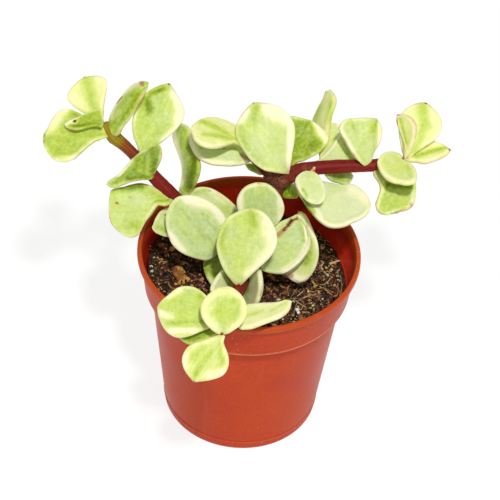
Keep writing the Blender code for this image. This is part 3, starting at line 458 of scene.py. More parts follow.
# Flakes of bark and grains of perlite: outline in the picture, the way they face, thickness and lift
# in mm, colour on the left and on the right, and how far the rim curls up in mm
CHIPS = {
    "bark_chip_1": ([(171.5, 268), (175, 265.5), (179.5, 266.2), (183.5, 267.5), (184.5, 271), (183.2, 273), (186.2, 275.5), (190, 279), (188.3, 282),
                     (184.5, 284.2), (180.3, 286), (176, 284.2), (178, 280.5), (174.5, 277), (171.8, 273)], (0.25, -0.55, 0.8), 0.7, 0.9,
                    (140, 78, 38), (222, 168, 70), 0.5),
    "bark_chip_2": ([(158.3, 262.3), (161.2, 261.2), (165, 261.6), (169, 260), (168.4, 262.2), (164.6, 264), (160.6, 265.2), (158.8, 264)], (0.1, -0.5, 0.85),
                    0.6, 0.5, (236, 206, 140), (186, 124, 84), 0.1),
    "bark_chip_3": ([(264, 274.6), (267, 273.2), (271, 274), (274.2, 277), (274.8, 281.4), (272.3, 280.4), (270, 277.4), (266.6, 277), (264.4, 276.8)],
                    (0.0, -0.6, 0.8), 0.6, 0.6, (186, 120, 44), (230, 184, 96), 0.4),
    "perlite_1": ([(295.6, 307.9), (298.2, 307.5), (299.5, 309.5), (299.1, 311.2), (300.5, 312.7), (299.5, 314.6), (297.1, 313.9), (296.8, 311.9), (295.3, 310.3)],
                  (0.1, -0.6, 0.8), 1.1, 1.5, (255, 253, 244), (255, 250, 238), -0.2),
    "perlite_2": ([(275.6, 299.7), (277.3, 298), (280, 298.3), (281.3, 300.2), (279.3, 302.1), (276.3, 301.7)], (0.0, -0.5, 0.85), 0.9, 0.5,
                  (224, 214, 186), (196, 184, 150), -0.2),
    "perlite_3": ([(291.9, 321.4), (293.6, 320.3), (295.4, 321.3), (294.9, 323.1), (292.5, 323.1)], (0.0, -0.5, 0.85), 0.8, 0.4, (244, 236, 226), (226, 206, 186), -0.2),
}

# Grains that show one by one: place in the picture, length, width and height in mm, turn, colour
GRAINS = [
    (161.5, 246.3, 1.9, 1.6, 1.0, 10, (190, 96, 58)), (165.3, 252.8, 1.1, 0.9, 0.7, 40, (176, 92, 70)), (149.3, 246.2, 1.1, 0.5, 0.5, -30, (216, 184, 138)),
    (165.7, 248.6, 0.55, 0.5, 0.45, 0, (236, 228, 196)), (154, 258, 0.6, 0.5, 0.5, 20, (206, 206, 130)), (157.6, 257.8, 0.5, 0.5, 0.4, 0, (196, 176, 180)),
    (151.3, 267.4, 0.9, 0.9, 0.7, 10, (206, 216, 166)), (151.8, 271.6, 1.0, 0.8, 0.6, 60, (190, 206, 186)), (152.8, 276.5, 0.8, 0.8, 0.6, 0, (132, 122, 60)),
    (176, 270.5, 1.0, 0.8, 0.6, 20, (150, 86, 50)), (195, 277.5, 0.7, 0.7, 0.5, 0, (156, 126, 104)), (191.6, 281.5, 0.8, 0.5, 0.5, 70, (206, 160, 90)),
    (268, 290.3, 1.3, 1.2, 1.0, 0, (158, 108, 46)), (285.2, 293.2, 1.3, 1.2, 1.0, 0, (138, 86, 48)), (270.3, 294.2, 1.1, 0.9, 0.8, 0, (126, 66, 46)),
    (276.3, 290.6, 1.0, 0.9, 0.7, 0, (120, 66, 40)), (271.7, 291.6, 0.4, 0.4, 0.4, 0, (250, 246, 240)), (280.3, 295.6, 0.8, 0.7, 0.6, 0, (150, 100, 70)),
    (322.5, 299.6, 0.6, 0.55, 0.55, 0, (252, 250, 244)), (323.3, 257.2, 1.1, 0.9, 0.8, 0, (178, 184, 190)), (322.6, 249.4, 0.9, 0.9, 0.8, 0, (226, 226, 196)),
    (324.5, 247.2, 0.6, 0.6, 0.6, 0, (206, 206, 160)), (331.3, 250.2, 0.6, 0.6, 0.6, 0, (238, 226, 210)), (329.5, 253.2, 0.6, 0.5, 0.5, 0, (180, 170, 120)),
    (311.6, 303.8, 0.7, 0.6, 0.6, 0, (206, 206, 128)), (312.8, 306.2, 0.7, 0.6, 0.6, 0, (226, 222, 166)), (310.6, 308.4, 0.8, 0.6, 0.6, 0, (176, 166, 86)),
    (309, 310.2, 0.6, 0.5, 0.5, 0, (156, 140, 60)), (313.8, 309.3, 0.5, 0.5, 0.5, 0, (206, 196, 130)), (321.5, 265.4, 0.7, 0.6, 0.6, 0, (216, 206, 150)),
    (326.3, 268.2, 0.7, 0.7, 0.6, 0, (196, 190, 110)), (329.4, 271.4, 0.6, 0.6, 0.5, 0, (216, 210, 140)), (324.2, 272.2, 0.7, 0.5, 0.5, 0, (176, 160, 80)),
    (327.8, 276, 0.6, 0.5, 0.5, 0, (226, 216, 170)), (331.8, 266.2, 0.6, 0.5, 0.5, 0, (190, 180, 110)), (334.5, 285.8, 0.7, 0.6, 0.6, 30, (206, 166, 116)),
    (331.2, 278, 0.8, 0.5, 0.5, 10, (222, 196, 126)), (337.2, 272.5, 0.5, 0.5, 0.4, 0, (206, 186, 166)), (303.5, 312.5, 0.8, 0.5, 0.5, 20, (186, 130, 90)),
    (285, 303.5, 0.9, 0.7, 0.6, 10, (126, 60, 44)), (327, 283.6, 0.6, 0.5, 0.5, 0, (166, 130, 90)), (318.5, 292.6, 0.6, 0.5, 0.5, 0, (236, 216, 180)),
]

# Root hairs and slivers that show one by one: points in the picture, width and lift in mm, colour
ROOTS = [
    ([(329.5, 264), (334, 262.3), (339.6, 260.6)], 0.62, 0.5, (236, 204, 146)),
    ([(298, 300), (303, 298), (309, 296), (314, 294.6)], 0.5, 0.5, (210, 160, 100)),
    ([(309, 296.2), (315, 296), (319.5, 299), (321.5, 303)], 0.22, 0.5, (176, 126, 76)),
    ([(303.4, 291), (298, 295.5), (294, 299.3), (291, 303)], 0.24, 0.6, (226, 202, 164)),
    ([(294, 299.2), (299, 303), (303, 305.6), (306.4, 307.2)], 0.26, 0.4, (216, 192, 150)),
    ([(303, 305.6), (301.5, 309), (298.5, 310.5)], 0.2, 0.3, (200, 170, 120)),
    ([(319.5, 286.5), (325.5, 290), (332.5, 295.3)], 0.24, 0.5, (214, 176, 122)),
    ([(317.6, 284.2), (324, 284.4), (332.4, 276.8)], 0.2, 0.7, (226, 196, 150)),
    ([(312, 281.4), (314, 283.6), (315.4, 285.6), (317.8, 285.2)], 0.5, 0.4, (228, 184, 88)),
    ([(340.3, 275), (341.6, 285), (340.4, 294), (338, 298.8)], 0.2, 0.5, (176, 140, 110)),
    ([(337.4, 283), (338, 290), (336.5, 297)], 0.22, 0.4, (190, 140, 110)),
    ([(316.6, 224.6), (319, 231.5), (321.6, 238)], 0.2, 1.4, (170, 116, 60)),
    ([(319, 229), (316, 236), (317, 243)], 0.16, 1.0, (190, 130, 70)),
    ([(331, 240.5), (335, 236), (339, 231)], 0.2, 1.6, (150, 92, 52)),
    ([(318, 239.4), (327, 241), (336.5, 244.6)], 0.18, 0.8, (190, 140, 80)),
    ([(335, 250), (339, 247), (343, 243.6)], 0.2, 0.8, (210, 96, 66)),
    ([(337.6, 245), (341, 245.8), (344.4, 247.2)], 0.16, 0.8, (200, 84, 60)),
    ([(321, 266.4), (323.4, 271.6), (328.6, 274.8)], 0.26, 0.4, (226, 206, 150)),
    ([(320, 246), (326, 244), (331, 246.5)], 0.18, 0.8, (206, 176, 120)),
    ([(325, 259), (331, 256), (335.5, 257.5)], 0.18, 0.6, (196, 156, 100)),
    ([(306, 288), (312, 292), (318, 290.5), (324, 293.5)], 0.2, 0.5, (200, 150, 96)),
    ([(300, 284), (304, 289.5), (303, 294)], 0.18, 0.5, (186, 130, 80)),
    ([(283, 297), (290, 299), (296, 297)], 0.18, 0.3, (150, 96, 60)),
    ([(279, 284.5), (284, 287.5), (290, 287)], 0.22, 0.4, (206, 166, 90)),
    ([(145, 247), (149.5, 249.2), (153.5, 250.4)], 0.3, 0.2, (196, 116, 74)),
    ([(183, 262.4), (187.5, 263.6), (190, 266.2)], 0.3, 0.3, (176, 166, 140)),
    ([(176, 262), (184, 265.5), (194, 266.2)], 0.28, 0.2, (126, 92, 50)),
    ([(168, 283), (171, 287.5), (174.5, 288.5)], 0.22, 0.3, (186, 150, 96)),
    ([(160, 287), (165, 291.5), (168, 294.4)], 0.26, 0.2, (206, 176, 110)),
    ([(193.5, 281), (196, 279), (199.6, 279.6)], 0.26, 0.2, (176, 126, 76)),
]


# ---- noise and small maths ----------------------------------------------------
def smooth(x):
    x = np.clip(x, 0.0, 1.0)
    return x * x * (3 - 2 * x)


def lattice(ix, iy, iz, seed):
    """A fixed random number from 0 to 1 for each lattice point."""
    n = (ix.astype(np.int64) * 374761393 + iy.astype(np.int64) * 668265263 + iz.astype(np.int64) * 2147483647 + seed * 974634777)
    n = (n ^ (n >> 13)) * 1274126177
    n = n ^ (n >> 16)
    return (n & 0xFFFF).astype(float) / 65535.0


def noise(p, seed=0):
    """Smooth noise from 0 to 1 at points p, whose grains are one unit apart."""
    p = np.asarray(p, float)
    i = np.floor(p).astype(np.int64)
    f = p - i
    f = f * f * (3 - 2 * f)
    total = 0.0
    for dx in (0, 1):
        for dy in (0, 1):
            for dz in (0, 1):
                w = (f[..., 0] if dx else 1 - f[..., 0]) * (f[..., 1] if dy else 1 - f[..., 1]) * (f[..., 2] if dz else 1 - f[..., 2])
                total = total + w * lattice(i[..., 0] + dx, i[..., 1] + dy, i[..., 2] + dz, seed)
    return total


def rough_noise(p, seed=0, octaves=4, gain=0.5):
    """Layers of noise, each finer and weaker, from about -0.5 to 0.5."""
    p = np.asarray(p, float)
    total, size, weight = 0.0, 1.0, 0.0
    for k in range(octaves):
        total = total + size * (noise(p * 2.03 ** k, seed + 17 * k) - 0.5)
        weight += size
        size *= gain
    return total / weight


def heading(azimuth, elevation):
    a, e = math.radians(azimuth), math.radians(elevation)
    return np.array([math.cos(a) * math.cos(e), math.sin(a) * math.cos(e), math.sin(e)])


def smooth_path(points, count):
    p = [np.array(q, float) for q in points]
    p = [2 * p[0] - p[1]] + p + [2 * p[-1] - p[-2]]
    spans = len(p) - 3
    path = []
    for k in range(count):
        u = spans * k / (count - 1)
        i = min(int(u), spans - 1)
        t = u - i
        a, b, c, d = p[i:i + 4]
        path.append(0.5 * (2 * b + (c - a) * t + (2 * a - 5 * b + 4 * c - d) * t * t + (3 * b - a - 3 * c + d) * t ** 3))
    return np.array(path)


def linear(r, g, b):
    """A colour as it looks on a screen, 0 to 255, in the shader's own numbers."""
    out = []
    for v in (r, g, b):
        v /= 255.0
        out.append(v / 12.92 if v <= 0.04045 else ((v + 0.055) / 1.055) ** 2.4)
    return (*out, 1.0)


# ---- node graphs -----------------------------------------------------------------
class Graph:
    """A material's node tree, written as sums."""

    def __init__(self, name):
        self.material = bpy.data.materials.new(name)
        self.material.use_nodes = True
        self.tree = self.material.node_tree
        self.shader = self.tree.nodes["Principled BSDF"]

    def put(self, socket, value):
        if isinstance(value, bpy.types.NodeSocket):
            self.tree.links.new(value, socket)
        elif value is not None:
            socket.default_value = value

    def attribute(self, name, kind="Fac"):
        node = self.tree.nodes.new("ShaderNodeAttribute")
        node.attribute_name = name
        return node.outputs[kind]

    def place(self):
        return self.tree.nodes.new("ShaderNodeTexCoord").outputs["Object"]

    def sum(self, operation, a, b=None, c=None, clamp=False):
        node = self.tree.nodes.new("ShaderNodeMath")
        node.operation = operation
        node.use_clamp = clamp
        self.put(node.inputs[0], a)
        self.put(node.inputs[1], b)
        self.put(node.inputs[2], c)
        return node.outputs[0]

    def scaled(self, vector, scale):
        node = self.tree.nodes.new("ShaderNodeVectorMath")
        node.operation = "MULTIPLY"
        self.put(node.inputs[0], vector)
        self.put(node.inputs[1], scale)
        return node.outputs[0]

    def joined(self, x, y, z):
        node = self.tree.nodes.new("ShaderNodeCombineXYZ")
        for socket, value in zip(node.inputs, (x, y, z)):
            self.put(socket, value)
        return node.outputs[0]

    def noise(self, vector, scale=1.0, detail=2.0, roughness=0.5, warp=0.0):
        node = self.tree.nodes.new("ShaderNodeTexNoise")
        self.put(node.inputs["Vector"], vector)
        node.inputs["Scale"].default_value = scale
        node.inputs["Detail"].default_value = detail
        node.inputs["Roughness"].default_value = roughness
        node.inputs["Distortion"].default_value = warp
        return node.outputs["Fac"]

    def cells(self, vector, scale, feature="F1", output="Distance", randomness=1.0):
        node = self.tree.nodes.new("ShaderNodeTexVoronoi")
        node.feature = feature
        self.put(node.inputs["Vector"], vector)
        node.inputs["Scale"].default_value = scale
        node.inputs["Randomness"].default_value = randomness
        return node.outputs[output]

    def step(self, value, low, high, to_low=0.0, to_high=1.0):
        """Smooth step of value from low to high."""
        node = self.tree.nodes.new("ShaderNodeMapRange")
        node.interpolation_type = "SMOOTHSTEP"
        self.put(node.inputs["Value"], value)
        self.put(node.inputs["From Min"], low)
        self.put(node.inputs["From Max"], high)
        node.inputs["To Min"].default_value = to_low
        node.inputs["To Max"].default_value = to_high
        return node.outputs["Result"]

    def mix(self, factor, a, b, kind="MIX"):
        node = self.tree.nodes.new("ShaderNodeMix")
        node.data_type = "RGBA"
        node.blend_type = kind
        self.put(node.inputs[0], factor)
        self.put(node.inputs[6], a)
        self.put(node.inputs[7], b)
        return node.outputs[2]

    def ramp(self, value, stops, colours):
        """Colours, as they look on a screen, at stops of value."""
        node = self.tree.nodes.new("ShaderNodeValToRGB")
        band = node.color_ramp
        band.elements[1].position, band.elements[1].color = stops[-1], linear(*colours[-1])
        band.elements[0].position, band.elements[0].color = stops[0], linear(*colours[0])
        for stop, colour in list(zip(stops, colours))[1:-1]:
            band.elements.new(stop).color = linear(*colour)
        self.put(node.inputs["Fac"], value)
        return node.outputs["Color"]

    def bump(self, height, strength, distance, normal=None):
        node = self.tree.nodes.new("ShaderNodeBump")
        node.inputs["Strength"].default_value = strength
        node.inputs["Distance"].default_value = distance
        self.put(node.inputs["Height"], height)
        self.put(node.inputs["Normal"], normal)
        return node.outputs["Normal"]

    def finish(self, colour, roughness, normal=None, **values):
        self.put(self.shader.inputs["Base Color"], colour)
        self.put(self.shader.inputs["Roughness"], roughness)
        self.put(self.shader.inputs["Normal"], normal)
        for name, value in values.items():
            self.shader.inputs[name.replace("_", " ")].default_value = value
        return self.material


def leaf_material():
    g = Graph("variegated_leaf")
    across, along = g.attribute("across"), g.attribute("along")
    green, fresh, streak = g.attribute("green"), g.attribute("fresh"), g.attribute("streak")
    blush, mark, seed, under = g.attribute("blush"), g.attribute("mark"), g.attribute("seed"), g.attribute("under")
    where = g.place()
    # stripes that run from the base to the tip
    stripe = g.noise(g.joined(g.sum("MULTIPLY", across, 5.0), g.sum("MULTIPLY", along, 1.1), g.sum("MULTIPLY", seed, 31.0)), 1.0, 3.0, 0.55)
    hair = g.noise(g.joined(g.sum("MULTIPLY", across, 18.0), g.sum("MULTIPLY", along, 3.0), g.sum("MULTIPLY", seed, 17.0)), 1.0, 2.0, 0.5)
    cloud = g.noise(where, 330.0, 3.0, 0.6)
    mottle = g.noise(where, 1100.0, 3.0, 0.6)
    grain = g.noise(where, 3000.0, 2.0, 0.6)
    total = g.sum("ADD", green, g.sum("MULTIPLY", g.sum("SUBTRACT", stripe, 0.5), g.sum("MULTIPLY", streak, 0.9)))
    total = g.sum("ADD", total, g.sum("MULTIPLY", g.sum("SUBTRACT", hair, 0.5), g.sum("MULTIPLY", streak, 0.5)))
    total = g.sum("ADD", total, g.sum("MULTIPLY", g.sum("SUBTRACT", cloud, 0.5), 0.35))
    total = g.sum("ADD", total, g.sum("MULTIPLY", g.sum("SUBTRACT", mottle, 0.5), g.step(green, 0.2, 1.2, 0.12, 0.95)))
    total = g.sum("MULTIPLY", total, 0.5)
    stops = (0.0, 0.09, 0.22, 0.34, 0.5, 0.64, 0.85)
    bluish = g.ramp(total, stops, [(250, 247, 212), (242, 243, 198), (218, 228, 174), (198, 215, 149), (166, 189, 105), (134, 158, 64), (98, 120, 36)])
    yellow = g.ramp(total, stops, [(251, 248, 203), (244, 243, 172), (222, 232, 138), (201, 219, 100), (174, 196, 62), (142, 166, 30), (104, 126, 10)])
    colour = g.mix(fresh, bluish, yellow)
    # the underside is a duller green
    colour = g.mix(g.sum("MULTIPLY", under, 0.45), colour, g.mix(0.55, colour, linear(132, 160, 60)))
    # bloom and pores
    colour = g.mix(g.step(grain, 0.52, 0.78, 0.0, 0.16), colour, linear(250, 252, 232))
    colour = g.mix(g.step(grain, 0.48, 0.24, 0.0, 0.16), colour, g.mix(0.6, colour, linear(104, 134, 40)))
    colour = g.mix(g.sum("MULTIPLY", blush, g.step(mottle, 0.3, 0.6, 0.55, 1.0), clamp=True), colour, linear(214, 136, 112))
    colour = g.mix(g.step(mark, 0.0, 0.5), colour, g.mix(0.7, colour, linear(176, 96, 44)))
    colour = g.mix(g.step(mark, 0.45, 0.95), colour, linear(78, 34, 18))
    height = g.sum("ADD", g.sum("MULTIPLY", grain, 0.35), g.sum("ADD", g.sum("MULTIPLY", mottle, 0.7), g.sum("MULTIPLY", hair, 0.4)))
    normal = g.bump(height, 0.22, 0.00012)
    rough = g.step(cloud, 0.3, 0.7, 0.40, 0.54)
    return g.finish(colour, rough, normal, Subsurface_Weight=0.25, Subsurface_Radius=(1.0, 0.9, 0.3), Subsurface_Scale=0.0011,
                    Specular_IOR_Level=0.12)


def stem_material():
    g = Graph("maroon_stem")
    where = g.place()
    along, around, wood, tip = g.attribute("along"), g.attribute("around"), g.attribute("wood"), g.attribute("young")
    line = g.noise(g.joined(g.sum("MULTIPLY", g.attribute("ring_x"), 3.0), g.sum("MULTIPLY", g.attribute("ring_y"), 3.0), g.sum("MULTIPLY", along, 0.18)), 1.0, 3.0, 0.6)
    cloud = g.noise(where, 420.0, 3.0, 0.6)
    grain = g.noise(where, 2600.0, 3.0, 0.65)
    pore = g.cells(where, 1500.0)
    skin = g.mix(g.step(line, 0.3, 0.75), linear(108, 16, 14), linear(140, 34, 24))
    skin = g.mix(g.step(cloud, 0.5, 0.8, 0.0, 0.4), skin, linear(124, 56, 48))
    skin = g.mix(g.step(pore, 0.15, 0.05, 0.0, 0.4), skin, linear(186, 108, 92))
    bark = g.mix(g.step(grain, 0.35, 0.62), linear(66, 30, 22), linear(128, 76, 54))
    bark = g.mix(g.step(cloud, 0.52, 0.72), bark, linear(150, 98, 68))
    brown = g.mix(g.step(line, 0.3, 0.7), linear(122, 46, 18), linear(142, 82, 28))
    olive = g.mix(g.step(line, 0.3, 0.7), linear(138, 108, 16), linear(158, 142, 30))
    colour = g.mix(wood, skin, bark)
    colour = g.mix(g.step(tip, 0.0, 0.5), colour, brown)
    colour = g.mix(g.step(tip, 0.5, 1.0), colour, olive)
    rough = g.step(wood, 0.0, 1.0, 0.5, 0.85)
    height = g.sum("ADD", g.sum("MULTIPLY", line, 0.4), g.sum("MULTIPLY", grain, g.step(wood, 0.0, 1.0, 0.25, 1.6)))
    normal = g.bump(height, 0.6, 0.00018)
    return g.finish(colour, rough, normal, Specular_IOR_Level=0.14, Subsurface_Weight=0.05, Subsurface_Radius=(1.0, 0.3, 0.2), Subsurface_Scale=0.0006)


def plastic_material():
    g = Graph("terracotta_plastic")
    where = g.place()
    cloud = g.noise(where, 60.0, 3.0, 0.55)
    grain = g.noise(where, 1800.0, 2.0, 0.6)
    speck = g.noise(where, 900.0, 3.0, 0.7)
    flow = g.noise(g.scaled(where, (420.0, 420.0, 26.0)), 1.0, 2.0, 0.5)
    base = g.mix(g.step(cloud, 0.3, 0.7), linear(186, 55, 10), linear(195, 66, 17))
    # painted light: the inner wall is a deeper, more saturated red, standing in for light that shines through the thin
    # plastic
    base = g.mix(g.attribute("inside"), base, linear(182, 34, 16))
    # painted shadow: the upper inner wall at the back right is darkened where the leaves shade it
    base = g.mix(g.attribute("painted_leaf_shadow"), base, linear(96, 10, 10))
    base = g.mix(g.attribute("glow"), base, linear(248, 62, 38))
    # painted highlight: the lip is a lighter orange, for the bright band the rim shows in the light
    base = g.mix(g.attribute("lip"), base, linear(192, 76, 28))
    # painted highlight: a light line along the collar's lower edge and, weaker, along the foot
    base = g.mix(g.sum("MULTIPLY", g.attribute("edge"), g.step(cloud, 0.3, 0.6, 0.35, 0.7)), base, linear(232, 150, 112))
    base = g.mix(g.step(flow, 0.55, 0.8, 0.0, 0.14), base, linear(206, 104, 70))
    base = g.mix(g.step(grain, 0.5, 0.75, 0.0, 0.1), base, linear(222, 130, 96))
    base = g.mix(g.step(speck, 0.5, 0.3, 0.0, 0.25), base, linear(150, 50, 26))
    # scratches that run round the collar, and dust
    ring = g.joined(g.sum("MULTIPLY", g.attribute("turn"), 26.0), g.sum("MULTIPLY", g.attribute("height"), 900.0), 0.0)
    scratch = g.noise(ring, 1.0, 1.0, 0.4)
    upper = g.step(g.attribute("height"), 0.036, 0.043)
    base = g.mix(g.sum("MULTIPLY", g.step(scratch, 0.71, 0.78), g.sum("MULTIPLY", upper, 0.4)), base, linear(236, 160, 130))
    dust = g.cells(where, 420.0)
    lot = g.noise(where, 130.0, 2.0, 0.5)
    base = g.mix(g.sum("MULTIPLY", g.step(dust, 0.07, 0.04), g.step(lot, 0.58, 0.66)), base, linear(232, 170, 140))
    dirt = g.cells(where, 260.0)
    base = g.mix(g.sum("MULTIPLY", g.step(dirt, 0.05, 0.03), g.step(lot, 0.5, 0.4)), base, linear(90, 34, 20))
    rough = g.step(cloud, 0.3, 0.7, 0.34, 0.46)
    height = g.sum("ADD", g.sum("MULTIPLY", grain, 0.25), g.sum("ADD", g.sum("MULTIPLY", flow, 0.6), g.sum("MULTIPLY", scratch, 0.5)))
    normal = g.bump(height, 0.25, 0.00012)
    return g.finish(base, rough, normal, Subsurface_Weight=0.2, Subsurface_Radius=(1.0, 0.16, 0.06), Subsurface_Scale=0.001, Specular_IOR_Level=0.13)


def crumb_material(name, stops, roughness=0.95, scale=900.0, **values):
    """Crumbs of the mix: their own tone picks the colour, and noise mottles it."""
    g = Graph(name)
    where = g.place()
    tone = g.attribute("tone")
    grain = g.noise(where, scale, 4.0, 0.65)
    colour = linear(*stops[0])
    for k, stop in enumerate(stops[1:]):
        edge = (k + 0.5) / (len(stops) - 1)
        colour = g.mix(g.step(tone, edge - 0.18, edge + 0.18), colour, linear(*stop))
    colour = g.mix(g.step(grain, 0.42, 0.7, 0.0, 0.5), colour, g.mix(0.6, colour, linear(*[min(255, int(c * 1.5 + 12)) for c in stops[-1]])))
    colour = g.mix(g.step(grain, 0.5, 0.25, 0.0, 0.7), colour, g.mix(0.75, colour, linear(*[c // 3 for c in stops[0]])))
    normal = g.bump(grain, 0.7, 0.00025)
    return g.finish(colour, roughness, normal, **values)


def grit_material(name, scale, roughness=0.92, dirt=0.75, **values):
    """Crumbs, flakes and hairs whose colour is given point by point, mottled by noise."""
    g = Graph(name)
    where = g.place()
    own = g.attribute("tint", "Color")
    grain = g.noise(where, scale, 4.0, 0.65)
    fine = g.noise(where, 3.1 * scale, 2.0, 0.6)
    colour = g.mix(g.step(grain, 0.5, 0.72, 0.0, 0.4), own, g.mix(0.5, own, linear(240, 214, 166)))
    colour = g.mix(g.step(grain, 0.5, 0.28, 0.0, dirt), colour, g.mix(0.7, colour, linear(30, 16, 8)))
    colour = g.mix(g.step(fine, 0.5, 0.3, 0.0, 0.5 * dirt), colour, g.mix(0.6, colour, linear(40, 24, 12)))
    normal = g.bump(g.sum("ADD", grain, g.sum("MULTIPLY", fine, 0.5)), 0.7, 0.0002)
    return g.finish(colour, roughness, normal, **values)


LEAF = leaf_material()
STEM = stem_material()
PLASTIC = plastic_material()
PEAT = crumb_material("peat", [(18, 11, 8), (40, 25, 18), (74, 46, 32)], Specular_IOR_Level=0.3)
GRIT = grit_material("mixed_grit", 1300.0, Specular_IOR_Level=0.2)
BARK = grit_material("bark_bits", 1100.0, 0.8, Specular_IOR_Level=0.3)
FIBRE = grit_material("root_fibre", 1600.0, 0.75, Specular_IOR_Level=0.3)
PERLITE = grit_material("perlite", 1000.0, 0.85, 0.0, Specular_IOR_Level=0.3)


# ---- making pieces ----------------------------------------------------------------
def piece_from(name, vertices, faces, material, attributes=(), replaces=(), smooth_shading=True):
    mesh = bpy.data.meshes.new(name)
    mesh.from_pydata([tuple(v) for v in np.asarray(vertices, float) * MM], [], faces)
    for key, values in dict(attributes).items():
        values = np.asarray(values, np.float32)
        if values.ndim == 2:
            mesh.attributes.new(key, "FLOAT_COLOR", "POINT").data.foreach_set("color", values.reshape(-1))
        else:
            mesh.attributes.new(key, "FLOAT", "POINT").data.foreach_set("value", values)
    if smooth_shading:
        mesh.shade_smooth()
    mesh.materials.append(material)
    piece = bpy.data.objects.new(name, mesh)
    bpy.context.scene.collection.objects.link(piece)
    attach(piece, "root")
    if replaces:
        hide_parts(*replaces)
    return piece


def grid_faces(rows, around, first=0):
    """Quads between closed rings of points."""
    faces = []
    for i in range(rows - 1):
        a = first + i * around
        for j in range(around):
            n = (j + 1) % around
            faces.append((a + j, a + n, a + around + n, a + around + j))
    return faces


def radii_along(radii, count):
    """A stem's radius at count places along its path."""
    return np.interp(np.linspace(0, len(radii) - 1, count), np.arange(len(radii)), radii)


STEM_PATHS = {name: (smooth_path(points, 120), radii_along(radii, 120)) for name, (points, radii) in STEMS.items()}


def nearest_stem(root):
    """(gap to the stem's skin, the way from the stem to root)"""
    best = None
    for path, radii in STEM_PATHS.values():
        away = root - (path + (0, 0, POT_HEIGHT))
        far = np.linalg.norm(away, axis=1)
        gap = far - radii
        k = int(np.argmin(gap))
        if best is None or gap[k] < best[0]:
            best = (gap[k], away[k] / far[k])
    return best


def smooth_curve(points, shares):
    """Points at shares 0 to 1 of the length of a smooth curve through points."""
    p = np.array(points, float)
    p = np.vstack([2 * p[0] - p[1], p, 2 * p[-1] - p[-2]])
    t = np.linspace(0, 1, 14, endpoint=False)[:, None]
    dense = [0.5 * (2 * b + (c - a) * t + (2 * a - 5 * b + 4 * c - d) * t * t + (3 * b - a - 3 * c + d) * t ** 3)
             for a, b, c, d in zip(p[:-3], p[1:-2], p[2:-1], p[3:])]
    q = np.concatenate(dense + [p[-2:-1]])
    far = np.concatenate([[0], np.cumsum(np.linalg.norm(np.diff(q, axis=0), axis=1))])
    return np.stack([np.interp(np.asarray(shares) * far[-1], far, q[:, k]) for k in (0, 1)], -1)


def to_line(p, x0, y0, x1, y1):
    """Distance of picture points p from a line, and on which side (positive: right of it)."""
    a, d = np.array([x0, y0], float), np.array([x1 - x0, y1 - y0], float)
    k = np.clip(((p - a) @ d) / d.dot(d), 0, 1)
    far = np.linalg.norm(p - a - k[..., None] * d, axis=-1)
    side = d[0] * (p[..., 1] - y0) - d[1] * (p[..., 0] - x0)
    return far, side / np.linalg.norm(d)


def to_outline(p, outline):
    """Distance of flat points p from a closed outline."""
    best = np.full(p.shape[:-1], 1e9)
    for a, b in zip(outline, np.roll(outline, -1, axis=0)):
        d = b - a
        k = np.clip(((p - a) @ d) / max(d.dot(d), 1e-9), 0, 1)
        best = np.minimum(best, np.linalg.norm(p - a - k[..., None] * d, axis=-1))
    return best


